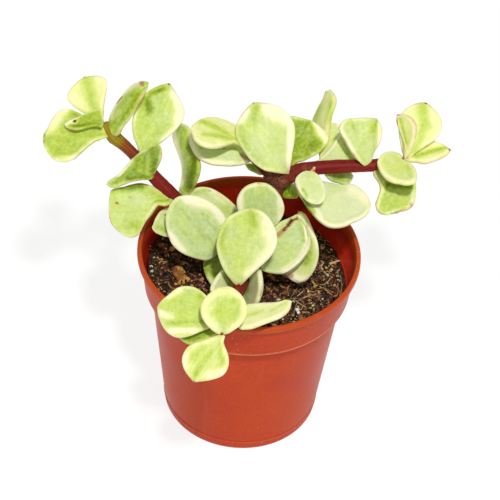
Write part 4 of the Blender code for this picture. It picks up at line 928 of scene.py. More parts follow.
def leaf(name, base, pointing, face, length, width, number):
    look, relief = LOOKS[name], RELIEFS.get(name, {})
    foot, tip, side_a, side_b = OUTLINES[name]
    rows, around = 48, 60
    along = heading(*pointing)
    up = heading(*face)
    up = up - up.dot(along) * along
    up /= np.linalg.norm(up)
    side = np.cross(up, along)
    root = np.array(base) + (0, 0, POT_HEIGHT)
    u = (1 - np.cos(np.pi * np.arange(1, rows + 1) / (rows + 1))) / 2
    curve_a = smooth_curve([foot, *side_a, tip], u)
    curve_b = smooth_curve([foot, *side_b, tip], u)
    theta = np.arange(around) / around * 2 * np.pi
    c, d = np.cos(theta)[None, :] + 0 * u[:, None], np.sin(theta)[None, :] + 0 * u[:, None]
    s = u[:, None] + 0 * c
    px = (curve_a[:, None] + curve_b[:, None]) / 2 + c[..., None] * (curve_a[:, None] - curve_b[:, None]) / 2

    def flat(p, lift):
        """Where the rays of picture points meet the blade's plane, lifted by lift."""
        ray = rays(p)
        reach = ((root - EYE) @ up + lift) / (ray @ up)
        return EYE + reach[..., None] * ray

    loop = np.concatenate([curve_a, [tip], curve_b[::-1], [foot]])
    corners = flat(loop, 0.0)
    outline = np.stack([(corners - root) @ side, (corners - root) @ along], -1)
    middle = flat(px, 0.0)
    plane = np.stack([(middle - root) @ side, (middle - root) @ along], -1)
    edge = to_outline(plane, outline)
    half = edge.max()
    # relief of the blade's middle surface
    lift = relief.get("cup", 0.3) * c * c * np.sin(np.pi * np.clip(s, 0, 1)) ** 0.7 + relief.get("bend", 0.0) * (2 * s - 1) ** 2
    chord = np.linalg.norm(flat(curve_a, 0.0) - flat(curve_b, 0.0), axis=1)[:, None]
    for which, start, end, broad, height in relief.get("lips", []):
        inward = (1 - c if which == "a" else 1 + c) * chord / 2
        lift = lift + height * np.exp(-(inward / broad) ** 2) * smooth((s - start + 0.06) / 0.12) * smooth((end + 0.06 - s) / 0.12)
    for x0, y0, x1, y1, broad, height in relief.get("ridges", []):
        far, _ = to_line(px, x0, y0, x1, y1)
        lift = lift + height * np.exp(-(far / broad) ** 2)
    for x0, y0, x1, y1, broad, height in relief.get("shelves", []):
        _, over = to_line(px, x0, y0, x1, y1)
        lift = lift + height * smooth(over / broad * 0.5 + 0.5) + 0.5 * height * np.clip(over / broad - 1, 0, 3) / 3
    lift = lift + 0.12 * c * c * np.sin(2 * np.pi * (1.7 * s + 0.37 * number) + np.where(c > 0, 1.4, 0.0))
    lift = lift + 0.22 * rough_noise(np.concatenate([plane / 3.6 + 9.1 * number, 0 * s[..., None]], -1), 5, 2)
    middle = flat(px, lift)
    # the flesh: thin towards the margin, with soft dimples
    grow = np.clip(half / 3.0, 0.45, 1.0)
    fat = LEAF_THICKNESS / 2 * grow
    rim = 0.6 * grow
    fullness = np.sqrt(np.clip(1 - (1 - np.clip(edge / rim, 0, 1)) ** 2, 0, 1)) * (0.82 + 0.18 * np.clip(edge / half, 0, 1) ** 0.7)
    dimple = rough_noise(np.concatenate([plane / 1.1 + 5.3 * number, 0 * s[..., None]], -1), 7, 3)
    thick = fat * fullness + 0.10 * dimple * np.clip(edge / 0.8, 0, 1)
    across_way = np.gradient(middle, axis=1, edge_order=1)
    along_way = np.gradient(middle, axis=0)
    # only the upper half of each ring gives the surface's own direction
    normal = np.cross(across_way, along_way)
    size = np.linalg.norm(normal, axis=-1, keepdims=True)
    normal = np.where(size > 1e-9, normal / np.maximum(size, 1e-9), up)
    normal = normal * np.sign(normal @ up + 1e-9)[..., None]
    near_rim = (np.abs(d) < 0.25)[..., None]
    normal = np.where(near_rim, up, normal)
    normal = normal / np.linalg.norm(normal, axis=-1, keepdims=True)
    points = middle + normal * (thick * np.sign(d) * (np.abs(d) > 1e-6))[..., None]
    # a short stalk reaches the stem
    neck = flat(np.array(foot, float), 0.0)
    gap, way = nearest_stem(neck)
    stalk = -way * (max(0.0, gap) + 0.5)
    pull = np.clip(1 - np.linalg.norm(plane - [(neck - root) @ side, (neck - root) @ along], axis=-1) / (2.2 + 0.5 * max(gap, 0.0)), 0, 1) ** 1.7
    if relief.get("hidden_stalk"):
        pull = pull * smooth((-d - 0.1) / 0.5)
    points = points + stalk * pull[..., None]
    if gap > 2.0:
        print(f"STALK {name} {gap:.1f} mm")
    tail = flat(np.array(tip, float), float(lift[-1].mean()))
    vertices = np.concatenate([points.reshape(-1, 3), [neck + (0.0 if relief.get("hidden_stalk") else 1.0) * stalk, tail]])
    faces = grid_faces(rows, around)
    b, t = rows * around, rows * around + 1
    for j in range(around):
        n = (j + 1) % around
        faces.append((b, n, j))
        faces.append((t, (rows - 1) * around + j, (rows - 1) * around + n))
    volume = sum(np.dot(vertices[f[0]], np.cross(vertices[f[1]], vertices[f[2]])) for f in faces[::7])
    centre = points.reshape(-1, 3).mean(0)
    outward = sum(np.dot(vertices[f[0]] - centre, np.cross(vertices[f[1]] - vertices[f[0]], vertices[f[2]] - vertices[f[0]])) for f in faces[::5])
    del volume
    if outward < 0:
        faces = [tuple(reversed(f)) for f in faces]
    # colour masks
    rim_a, rim_b, rim_tip = [v * 0.245 for v in look["rim"]]
    blend = smooth((c + 0.6) / 1.2)
    margin = (rim_a * blend + rim_b * (1 - blend)) * (1 - smooth((s - 0.75) / 0.2)) + rim_tip * smooth((s - 0.75) / 0.2)
    margin = margin * (0.3 + 0.7 * smooth(s / 0.3)) * look.get("margin", 0.55)
    uneven = rough_noise(np.concatenate([plane / 1.9 + 3.7 * number, 0 * s[..., None]], -1), 11, 3)
    soft = (0.50 + 0.13 * half) * look.get("soft", 1.0)
    inner = smooth((edge + 1.1 * uneven * (0.3 + margin) - margin) / soft + 0.45)
    green = look["level"] * (look.get("edge", 0.28) + (1 - look.get("edge", 0.28)) * inner)
    more, less = 0 * s, 0 * s
    # strokes add or take away green; a few of them paint shade or a cast shadow, as marked in LOOKS
    for x0, y0, x1, y1, broad, amount in look.get("strokes", []):
        far, _ = to_line(px, x0, y0, x1, y1)
        far = far * (1 + 0.5 * rough_noise(np.concatenate([plane / 1.3 + 2.3 * number, 0 * s[..., None]], -1), 19, 2))
        touch = amount * np.exp(-(far / broad) ** 2)
        more, less = np.maximum(more, touch), np.minimum(less, touch)
    green = np.maximum(green + more + less, -0.1)
    patch = noise(np.concatenate([plane / 2.0 + 1.9 * number, 0 * s[..., None]], -1), 13)
    blush = 0.75 * look["pink"] * smooth(1.15 - edge / 0.17) * (0.1 + 0.9 * smooth((patch - 0.42) / 0.25)) + 0.3 * np.exp(-(s / 0.03) ** 2)
    sway = rough_noise(np.concatenate([plane / 3.4 + 6.1 * number, 0 * s[..., None]], -1), 23, 2)
    fresh = look["fresh"] + 0.8 * sway + 0.5 * np.clip(more, 0, 1)
    mark = 0 * s
    for x, y, radius, dark in look.get("spots", []):
        far = np.linalg.norm(px - (x, y), axis=-1)
        mark = np.maximum(mark, dark * smooth(1.55 - far / radius))
    for x0, y0, x1, y1, broad, dark in look.get("scars", []):
        far, _ = to_line(px, x0, y0, x1, y1)
        mark = np.maximum(mark, dark * smooth(1.6 - far / broad))
    mark = mark * (d > -0.35)
    under = smooth((-d + 0.1) / 0.4)
    attributes = dict(across=plane[..., 0] / 4.0, along=plane[..., 1] / 4.0, green=green, fresh=np.clip(fresh, 0, 1), blush=np.clip(blush, 0, 1),
                      mark=np.clip(mark, 0, 1), seed=number * 0.137 + 0 * s, under=under, streak=look["streak"] + 0 * s)
    packed = {}
    for key, values in attributes.items():
        packed[key] = np.concatenate([values.reshape(-1), [values[0].mean(), values[-1].mean()]])
    return piece_from(name + "_blade", vertices, faces, LEAF, packed, [name])


def tube(path, radii, around, start_turn=0.0):
    """Rings round a path, as (vertices, faces) with rounded ends."""
    path = np.asarray(path, float)
    tangent = np.gradient(path, axis=0)
    tangent /= np.linalg.norm(tangent, axis=1)[:, None]
    normal = np.cross(tangent[0], (0.31, 0.17, 0.93))
    normal /= np.linalg.norm(normal)
    frames = []
    for k in range(len(path)):
        normal = normal - normal.dot(tangent[k]) * tangent[k]
        normal /= np.linalg.norm(normal)
        frames.append((normal.copy(), np.cross(tangent[k], normal)))
    angle = np.arange(around) / around * 2 * np.pi + start_turn
    rings = [path[k] + np.outer(np.cos(angle) * radii[k], frames[k][0]) + np.outer(np.sin(angle) * radii[k], frames[k][1])
             if np.isscalar(radii[k]) else
             path[k] + (np.cos(angle) * radii[k])[:, None] * frames[k][0] + (np.sin(angle) * radii[k])[:, None] * frames[k][1]
             for k in range(len(path))]
    vertices = np.concatenate(rings + [path[:1], path[-1:]])
    faces = grid_faces(len(path), around)
    b, t = len(path) * around, len(path) * around + 1
    for j in range(around):
        n = (j + 1) % around
        faces.append((b, n, j))
        faces.append((t, (len(path) - 1) * around + j, (len(path) - 1) * around + n))
    return vertices, faces, angle


STEM_NODES = {
    "stem_left": [0.26, 0.45, 0.60, 0.857],
    "stem_right": [0.05, 0.30, 0.55, 0.80, 0.96],
    "stem_top": [0.25, 0.6],
    "stem_front": [0.22, 0.42, 0.78],
    "stem_middle": [0.5],
    "trunk": [0.45, 0.72, 0.92],
}


def stem(name, number):
    points, radii = STEMS[name]
    count, around = 150, 40
    path = smooth_path(points, count) + (0, 0, POT_HEIGHT)
    t = np.linspace(0, 1, count)
    length = np.concatenate([[0], np.cumsum(np.linalg.norm(np.diff(path, axis=0), axis=1))])
    radius = radii_along(radii, count)
    wood = {"trunk": 1.0, "stem_middle": 0.5}.get(name, 0.0) + 0 * t
    young = 0 * t
    if name == "stem_left":
        wood = 0.25 * smooth((0.3 - t) / 0.2)
        young = smooth((t - 0.65) / 0.2)
    if name == "stem_right":
        wood = smooth((0.16 - t) / 0.08) * 0.7 + smooth((0.42 - t) / 0.08) * 0.3
        young = smooth((t - 0.93) / 0.05) * 0.6
    if name == "stem_top":
        wood = smooth((0.3 - t) / 0.2)
        young = smooth((t - 0.3) / 0.3) * 0.7
    if name == "stem_front":
        wood = smooth((0.25 - t) / 0.15) * 0.6
        young = smooth((t - 0.97) / 0.03) * 0.4
    swell = 1 + 0 * t
    for at in STEM_NODES[name]:
        far = (t - at) * length[-1]
        swell = swell + 0.07 * np.exp(-(far / 0.9) ** 2) - 0.05 * np.exp(-((far - 0.15) / 0.16) ** 2)
    ends = np.clip(np.minimum(length + 0.02, length[-1] - length + 0.02) / 0.5, 0, 1)
    radius = radius * swell * np.sqrt(1 - (1 - ends) ** 2 * 0.9)
    angle = np.arange(around) / around * 2 * np.pi
    field = np.stack([np.cos(angle)[None, :] * 1.6 + 0 * t[:, None], np.sin(angle)[None, :] * 1.6 + 0 * t[:, None],
                      length[:, None] / 1.4 + 5.7 * number + 0 * angle[None, :]], -1)
    rough = rough_noise(field, 3, 4)
    fine = rough_noise(field * (2.7, 2.7, 1.9), 9, 3)
    radii = radius[:, None] * (1 + (0.05 + 0.20 * wood[:, None]) * rough + 0.10 * wood[:, None] * fine)
    vertices, faces, angle = tube(path, list(radii), around)
    spread = lambda v: np.concatenate([np.broadcast_to(v, (count, around)).reshape(-1), [0.0, 0.0]])
    values = dict(along=spread(length[:, None] / 2.0 + 3.0 * number), around=spread(angle[None, :]),
                  ring_x=spread(np.cos(angle)[None, :]), ring_y=spread(np.sin(angle)[None, :]),
                  wood=spread(wood[:, None]), young=spread(young[:, None]))
    values["wood"][-2:] = wood[[0, -1]]
    values["young"][-2:] = young[[0, -1]]
    return piece_from(name + "_skin", vertices, faces, STEM, values, [name])


def turned(name, profile, segments, material, replaces, inside_from, lip_from, lip_to, painted_highlight_rows):
    """A closed turned shell from a profile that runs from the axis, out, up and back."""
    profile = np.array(profile, float)
    angle = np.arange(segments) / segments * 2 * np.pi
    inner = profile[1:-1]
    rings = [np.stack([r * np.cos(angle), r * np.sin(angle), z + 0 * angle], -1) for r, z in inner]
    vertices = np.concatenate(rings + [[(0, 0, profile[0][1])], [(0, 0, profile[-1][1])]])
    faces = grid_faces(len(inner), segments)
    b, t = len(inner) * segments, len(inner) * segments + 1
    for j in range(segments):
        n = (j + 1) % segments
        faces.append((b, n, j))
        faces.append((t, (len(inner) - 1) * segments + j, (len(inner) - 1) * segments + n))
    wall = np.repeat([1.0 if k > inside_from else 0.0 for k in range(len(inner))], segments)
    lip = np.repeat([1.0 if lip_from <= k < lip_to else 0.0 for k in range(len(inner))], segments)
    turn = np.concatenate([np.tile(np.abs(angle - np.pi) * 2, len(inner)), [0, 0]])
    height = np.concatenate([np.repeat(inner[:, 1] * MM, segments), [0, 0]])
    # light that shows through the thin wall, on the right, low down by the mix
    ways = np.tile(np.degrees((angle + np.pi) % (2 * np.pi) - np.pi), len(inner))
    low = np.repeat(inner[:, 1], segments) - POT_HEIGHT
    glow = wall * np.exp(-((ways - 14) / 19) ** 2) * smooth((-2.2 - low) / 4.5) + wall * np.exp(-((ways - 98) / 30) ** 2) * smooth((-0.5 - low) / 4.0)
    # painted shadow: the upper inner wall at the back right is darkened where the leaves shade it
    painted_leaf_shadow = wall * np.exp(-((ways - 52) / 25) ** 2) * smooth((low + 7.5) / 3.5) * 0.85
    # painted highlight: full on the collar's lower edge, weaker on the foot line
    edge = np.repeat([(1.0 if inner[k][1] > 15 else 0.35) if k in painted_highlight_rows else 0.0 for k in range(len(inner))], segments)
    return piece_from(name, vertices, faces, material, dict(turn=turn, height=height, inside=np.concatenate([wall, [0, 0]]), edge=np.concatenate([edge, [0, 0]]), lip=np.concatenate([lip, [0, 0]]),
                                                            painted_leaf_shadow=np.concatenate([np.clip(painted_leaf_shadow, 0, 1), [0, 0]]),
                                                            glow=np.concatenate([np.clip(glow, 0, 1), [0, 0]])), replaces)


def arc(centre, radius, start, end, count):
    """Points on an arc in the profile's plane, angles in degrees from the outward way, turning up."""
    return [(centre[0] + radius * math.cos(math.radians(start + (end - start) * k / (count - 1))),
             centre[1] + radius * math.sin(math.radians(start + (end - start) * k / (count - 1)))) for k in range(count)]


def pot():
    top = POT_HEIGHT
    collar_z = top - COLLAR_DROP
    slope = (BODY_TOP_RADIUS - BASE_RADIUS) / collar_z
    body = lambda z: BASE_RADIUS + slope * z
    wall = lambda z: COLLAR_RADIUS + (LIP_RADIUS - 0.8 - COLLAR_RADIUS) * (z - collar_z) / (COLLAR_DROP - LIP_HEIGHT)
    profile = [(0.0, 0.25), (9.0, 0.25), (16.6, 0.25), (17.0, 0.2), (17.3, 0.0), (BASE_RADIUS - 0.75, 0.0)]
    profile += arc((BASE_RADIUS - 0.62, 0.6), 0.6, -80, -8, 8)
    profile += [(body(z) + 0.04, z) for z in np.linspace(0.9, FOOT_HEIGHT - 0.35, 6)]
    # rows that get a painted highlight line: the foot here, the collar's lower edge below
    painted_highlight_rows = {len(profile) - 1, len(profile)}
    profile += [(body(FOOT_HEIGHT) + 0.08, FOOT_HEIGHT - 0.2), (body(FOOT_HEIGHT) + 0.08, FOOT_HEIGHT - 0.08), (body(FOOT_HEIGHT) - 0.0, FOOT_HEIGHT + 0.02),
                (body(FOOT_HEIGHT) - 0.05, FOOT_HEIGHT + 0.2)]
    profile += [(body(z) - 0.04, z) for z in np.linspace(FOOT_HEIGHT + 0.9, collar_z - 1.2, 30)]
    profile += [(BODY_TOP_RADIUS - 0.02, collar_z - 0.45), (BODY_TOP_RADIUS + 0.08, collar_z - 0.2), (BODY_TOP_RADIUS + 0.3, collar_z - 0.06)]
    profile += [(COLLAR_RADIUS - 0.4, collar_z)]
    painted_highlight_rows |= set(range(len(profile), len(profile) + 5))
    profile += arc((COLLAR_RADIUS - 0.2, collar_z + 0.26), 0.26, -80, 10, 6)
    profile += [(wall(z), z) for z in np.linspace(collar_z + 0.8, top - LIP_HEIGHT - 0.25, 12)]
    # the lip's rows, which get a lighter orange as a painted highlight
    lip_from = len(profile)
    profile += [(LIP_RADIUS - 0.84, top - LIP_HEIGHT - 0.05), (LIP_RADIUS - 0.78, top - LIP_HEIGHT + 0.06), (LIP_RADIUS - 0.4, top - LIP_HEIGHT + 0.1)]
    profile += arc((LIP_RADIUS - 0.3, top - LIP_HEIGHT + 0.4), 0.3, -80, 0, 5)
    profile += arc((LIP_RADIUS - 0.5, top - 0.5), 0.5, 8, 82, 8)
    profile += arc((LIP_RADIUS - 0.78, top - 0.35), 0.35, 90, 165, 6)
    profile += [(LIP_RADIUS - 1.17, top - 0.6), (LIP_RADIUS - 1.26, top - 1.1), (LIP_RADIUS - 1.4, top - LIP_HEIGHT)]
    lip_to = len(profile) - 2
    low_inner = collar_z + 1.0
    inside_from = len(profile) - 1
    profile += [(COLLAR_RADIUS - WALL + (LIP_RADIUS - 1.4 - COLLAR_RADIUS + WALL) * (z - low_inner) / (top - LIP_HEIGHT - low_inner), z)
                for z in np.linspace(top - LIP_HEIGHT - 0.4, low_inner, 12)]
    profile += [(COLLAR_RADIUS - WALL - 0.5, collar_z + 0.45), (BODY_TOP_RADIUS - WALL, collar_z + 0.1)]
    profile += [(body(z) - WALL, z) for z in np.linspace(collar_z - 1.0, FLOOR + 1.5, 14)]
    profile += [(BASE_RADIUS - WALL + 0.1, FLOOR + 0.5), (BASE_RADIUS - WALL - 0.4, FLOOR), (9.0, FLOOR), (0.0, FLOOR)]
    shell = turned("pot_shell", profile, 240, PLASTIC, ["pot"], inside_from, lip_from, lip_to, painted_highlight_rows)
    # drain holes through the floor
    for k in range(DRAIN_HOLES):
        angle = 2 * math.pi * (k + 0.5) / DRAIN_HOLES
        sides = np.arange(36) / 36 * 2 * np.pi
        ring = np.stack([DRAIN_HOLE_RADIUS * np.cos(sides) + DRAIN_CIRCLE_RADIUS * math.cos(angle),
                         DRAIN_HOLE_RADIUS * np.sin(sides) + DRAIN_CIRCLE_RADIUS * math.sin(angle)], -1)
        low = np.concatenate([ring, np.full((36, 1), -1.0)], 1)
        high = np.concatenate([ring, np.full((36, 1), FLOOR + 1.2)], 1)
        mesh = bpy.data.meshes.new(f"cutter_{k}")
        mesh.from_pydata([tuple(v) for v in np.concatenate([low, high]) * MM], [],
                         [tuple(reversed(range(36))), tuple(range(36, 72))] + [(j, (j + 1) % 36, 36 + (j + 1) % 36, 36 + j) for j in range(36)])
        cutter = bpy.data.objects.new(f"cutter_{k}", mesh)
        bpy.context.scene.collection.objects.link(cutter)
        cut = shell.modifiers.new(f"drain_{k}", "BOOLEAN")
        cut.operation = "DIFFERENCE"
        cut.object = cutter
    bpy.context.view_layer.update()
    done = bpy.data.meshes.new_from_object(shell.evaluated_get(bpy.context.evaluated_depsgraph_get()))
    shell.modifiers.clear()
    shell.data = done
    for k in range(DRAIN_HOLES):
        bpy.data.objects.remove(bpy.data.objects[f"cutter_{k}"], do_unlink=True)
    done.set_sharp_from_angle(angle=math.radians(38))
    return shell


# ---- potting mix --------------------------------------------------------------------
def bed_height(x, y):
    """The mix's rough surface."""
    p = np.stack([x / 3.1, y / 3.1, 0 * x], -1)
    q = np.stack([x / 0.9, y / 0.9, 0 * x + 4.0], -1)
    return soil_height(x, y) + 1.1 * rough_noise(p, 21, 3) + 0.8 * rough_noise(q, 33, 3) - 0.15


def soil_bed():
    around, rows = 300, 96
    angle = np.arange(around) / around * 2 * np.pi
    outer = 24.7
    vertices, faces = [], []
    bottom = [(BASE_RADIUS - WALL - 0.75, FLOOR + FIT_GAP), (BASE_RADIUS - WALL - 0.2, FLOOR + FIT_GAP + 0.6),
              (BODY_TOP_RADIUS - WALL - FIT_GAP - 0.02, POT_HEIGHT - COLLAR_DROP - 0.1), (24.45, POT_HEIGHT - COLLAR_DROP + 1.1)]
    rings = [np.stack([r * np.cos(angle), r * np.sin(angle), z + 0 * angle], -1) for r, z in bottom]
    radii = outer * (1 - (np.arange(rows) / rows) ** 1.0)
    for r in radii:
        x, y = r * np.cos(angle), r * np.sin(angle)
        rings.append(np.stack([x, y, bed_height(x, y)], -1))
    vertices = np.concatenate(rings + [[(0, 0, FLOOR + FIT_GAP)], [(0, 0, float(bed_height(np.array(0.0), np.array(0.0))))]])
    faces = grid_faces(len(rings), around)
    b, t = len(rings) * around, len(rings) * around + 1
    for j in range(around):
        n = (j + 1) % around
        faces.append((b, n, j))
        faces.append((t, (len(rings) - 1) * around + j, (len(rings) - 1) * around + n))
    tone = noise(vertices / 1.3, 77) * 0.9
    return piece_from("soil_bed", vertices, faces, PEAT, dict(tone=tone), ["soil"])


ICO = None


def icosphere():
    """The 12 corners and 20 faces of an icosahedron of radius 1."""
    g = (1 + 5 ** 0.5) / 2
    v = []
    for a in (-1, 1):
        for b in (-g, g):
            v += [(0, a, b), (a, b, 0), (b, 0, a)]
    v = np.array(v, float)
    v /= np.linalg.norm(v[0])
    faces = []
    edge = min(np.linalg.norm(v[0] - v[k]) for k in range(1, 12)) * 1.05
    for i in range(12):
        for j in range(i + 1, 12):
            for k in range(j + 1, 12):
                if max(np.linalg.norm(v[i] - v[j]), np.linalg.norm(v[j] - v[k]), np.linalg.norm(v[i] - v[k])) < edge:
                    n = np.cross(v[j] - v[i], v[k] - v[i])
                    faces.append((i, j, k) if n.dot(v[i]) > 0 else (i, k, j))
    return v, faces


def split_once(v, faces):
    """Each triangle becomes four, on the unit sphere."""
    v, cache, out = [tuple(p) for p in v], {}, []

    def middle(a, b):
        key = (min(a, b), max(a, b))
        if key not in cache:
            m = np.array(v[a]) + np.array(v[b])
            v.append(tuple(m / np.linalg.norm(m)))
            cache[key] = len(v) - 1
        return cache[key]

    for a, b, c in faces:
        ab, bc, ca = middle(a, b), middle(b, c), middle(c, a)
        out += [(a, ab, ca), (b, bc, ab), (c, ca, bc), (ab, bc, ca)]
    return np.array(v), out


ICO = icosphere()
ICO2 = split_once(*ICO)
ICO3 = split_once(*ICO2)


def rotation(rng):
    q = rng.normal(size=4)
    q /= np.linalg.norm(q)
    w, x, y, z = q
    return np.array([[1 - 2 * (y * y + z * z), 2 * (x * y - z * w), 2 * (x * z + y * w)],
                     [2 * (x * y + z * w), 1 - 2 * (x * x + z * z), 2 * (y * z - x * w)],
                     [2 * (x * z - y * w), 2 * (y * z + x * w), 1 - 2 * (x * x + y * y)]])


def clear_of_stems(x, y, reach):
    for name in ("trunk", "stem_left", "stem_front", "stem_middle"):
        foot = STEMS[name][0][0]
        if math.hypot(x - foot[0], y - foot[1]) < STEMS[name][1][0] + reach:
            return False
    return True


DARK, PEATY, RUSSET, TAN, PINK, GOLD, PALE, LICHEN, WHITE = ((30, 17, 9), (64, 40, 25), (112, 62, 38), (152, 108, 68), (172, 116, 92), (192, 136, 58),
                                                          (220, 194, 150), (160, 160, 100), (246, 242, 230))
EARTH = [(DARK, 0.34), (PEATY, 0.18), (RUSSET, 0.19), (TAN, 0.11), (PINK, 0.07), (GOLD, 0.04), (PALE, 0.07)]
WOODY = [(DARK, 0.10), (PEATY, 0.16), (RUSSET, 0.30), (TAN, 0.20), (PINK, 0.10), (GOLD, 0.05), (PALE, 0.09)]
MOSSY = [(LICHEN, 0.3), (PALE, 0.25), (GOLD, 0.1), (TAN, 0.15), (PEATY, 0.2)]
CLEAN = [(WHITE, 0.7), (PALE, 0.3)]


def on_bed(x, y):
    """Where the ray through a picture point meets the mix."""
    ray = rays((x, y))
    z = POT_HEIGHT - SOIL_DROP + 1.0
    for _ in range(8):
        p = EYE + ray * (z - EYE[2]) / ray[2]
        z = float(bed_height(np.array(p[0]), np.array(p[1])))
    return p


class Heap:
    """Closed lumps gathered into one piece, each with its own colour."""

    def __init__(self):
        self.vertices, self.faces, self.tints, self.count = [], [], [], 0

    def add(self, vertices, faces, tint):
        vertices = np.asarray(vertices, float)
        self.faces += [tuple(q + self.count for q in f) for f in faces]
        self.vertices.append(vertices)
        self.count += len(vertices)
        tint = np.asarray(tint, float)
        self.tints.append(np.broadcast_to(tint, (len(vertices), 4)) if tint.ndim == 1 else tint)

    def piece(self, name, material, slot, replaces=(), smooth_shading=True):
        return piece_from(name, np.concatenate(self.vertices), self.faces, material, dict(tint=np.concatenate(self.tints)), replaces, smooth_shading)


def shade_of(colour, rng, spread=0.18):
    """A colour a little lighter or darker than the one given."""
    k = 1 + spread * rng.normal()
    return np.array(linear(*[min(255.0, max(2.0, v * k)) for v in colour]))


def crumbs(name, count, seed, sizes, flatness, palette, material, slot, area=None, detail=ICO, sink=0.35, limit=24.3, slim=(0.55, 0.95), flat=True):
    """Many small closed crumbs lying in the mix's surface, as one piece."""
    rng = np.random.default_rng(seed)
    unit, unit_faces = detail
    colours = [c for c, _ in palette]
    odds = np.array([w for _, w in palette])
    odds = odds / odds.sum()
    spots = []
    while len(spots) < count:
        if area is None:
            r, a = limit * math.sqrt(rng.random()), 2 * math.pi * rng.random()
            x, y = r * math.cos(a), r * math.sin(a)
        else:
            x, y = area[0] + rng.normal() * area[2], area[1] + rng.normal() * area[3]
        size = sizes[0] * (sizes[1] / sizes[0]) ** rng.random() ** 1.6
        if math.hypot(x, y) <= limit - size / 3 and clear_of_stems(x, y, size * 0.6):
            spots.append((x, y, size))
    spots = np.array(spots)
    ground = bed_height(spots[:, 0], spots[:, 1])
    heap = Heap()
    for (x, y, size), z in zip(spots, ground):
        stretch = np.array([1.0, slim[0] + (slim[1] - slim[0]) * rng.random(), flatness * (0.7 + 0.6 * rng.random())])
        p = unit * (1 + 0.16 * rng.normal(size=(len(unit), 1))) * stretch * size / 2
        if flat:
            turn, tilt, rise = 2 * math.pi * rng.random(), rng.normal() * 0.35, rng.normal() * 0.2
            ct, st, cx, sx, cy, sy = math.cos(turn), math.sin(turn), math.cos(tilt), math.sin(tilt), math.cos(rise), math.sin(rise)
            p = p @ np.array([[cy, 0, -sy], [0, 1, 0], [sy, 0, cy]]).T @ np.array([[1, 0, 0], [0, cx, -sx], [0, sx, cx]]).T
            p = p @ np.array([[ct, -st, 0], [st, ct, 0], [0, 0, 1]]).T
        else:
            p = p @ rotation(rng).T
        heap.add(p + (x, y, z + size * flatness * (0.5 - sink)), unit_faces, shade_of(colours[rng.choice(len(colours), p=odds)], rng))
    return heap.piece(name, material, slot, (), detail is not ICO)


def flake(name, outline, facing, thickness, lift, near, far_side, material, curl=0.0, spot=None):
    """A jagged flake seen with the given outline in the picture; its colour runs from left to right."""
    seed = sum(ord(ch) for ch in name)
    rng = np.random.default_rng(seed)
    corners = np.array(outline, float)
    dense = []
    for a, b in zip(corners, np.roll(corners, -1, axis=0)):
        for t in (0.0, 0.25, 0.5, 0.75):
            dense.append(a + (b - a) * t + (0 if t == 0 else rng.normal(size=2) * 0.12))
    dense = np.array(dense)
    middle = corners.mean(0)
    spot = on_bed(*middle) + (0, 0, lift) if spot is None else np.array(spot, float)
    n = np.array(facing, float)
    n /= np.linalg.norm(n)
    around = len(dense)
    rings, tint = [], []
    shares = (0.15, 0.4, 0.65, 0.85, 0.97)
    reach = np.abs(dense - middle).max()
    left, right = dense[:, 0].min(), dense[:, 0].max()
    for up, order in ((-1, shares), (1, shares[::-1])):
        for share in order:
            px = middle + (dense - middle) * share
            ray = rays(px)
            p = EYE + ray * (((spot - EYE) @ n) / (ray @ n))[:, None]
            rough = rough_noise(p * 1.4 + seed, seed, 3)
            bow = curl * (np.linalg.norm(px - middle, axis=1) / reach) ** 2
            rings.append(p + n * (bow + 1.5 * thickness * rough_noise(p * 2.6 + seed, seed + 9, 2) + 0.7 * thickness * rough + up * thickness / 2 * (1 - share ** 4 * 0.8))[:, None])
            mixed = np.clip((px[:, 0] - left) / (right - left) + 1.6 * rough_noise(p * 1.1 + 7.0, seed + 3, 2), 0, 1)[:, None]
            dark = np.clip(0.95 + 2.2 * rough_noise(p * 2.9 + 3.0, seed + 11, 2), 0.25, 1.25)[:, None] if max(near) < 250 else 1.0
            tint.append((np.array(linear(*near)) * (1 - mixed) + np.array(linear(*far_side)) * mixed) * dark)
    points = np.concatenate(rings + [rings[0].mean(0)[None], rings[-1].mean(0)[None]])
    tint = np.concatenate(tint + [tint[0][:1], tint[-1][:1]])
    faces = grid_faces(len(rings), around)
    b, t = len(rings) * around, len(rings) * around + 1
    for j in range(around):
        k = (j + 1) % around
        faces.append((b, k, j))
        faces.append((t, (len(rings) - 1) * around + j, (len(rings) - 1) * around + k))
    centre = points.mean(0)
    if sum(np.dot(points[f[0]] - centre, np.cross(points[f[1]] - points[f[0]], points[f[2]] - points[f[0]])) for f in faces) < 0:
        faces = [tuple(reversed(f)) for f in faces]
    return piece_from(name + "_lump", points, faces, material, dict(tint=tint), [name] if name in CHIPS else [], False)


def lumps(name, items, seed, material, slot):
    """Single grains at picture points: x, y, length, width, height in mm, turn, colour."""
    rng = np.random.default_rng(seed)
    unit, unit_faces = ICO2
    heap = Heap()
    for x, y, length, width, height, turn, colour in items:
        p = unit * (1 + 0.7 * rough_noise(unit * 1.5 + 40 * rng.random(3), seed, 2)[:, None] + 0.05 * rng.normal(size=(len(unit), 1)))
        p = p * (length / 2, width / 2, height / 2)
        a = math.radians(turn)
        p = p @ np.array([[math.cos(a), -math.sin(a), 0], [math.sin(a), math.cos(a), 0], [0, 0, 1]]).T
        heap.add(p + on_bed(x, y) + (0, 0, height * 0.25), unit_faces, shade_of(colour, rng, 0.05))
    return heap.piece(name, material, slot, (), False)


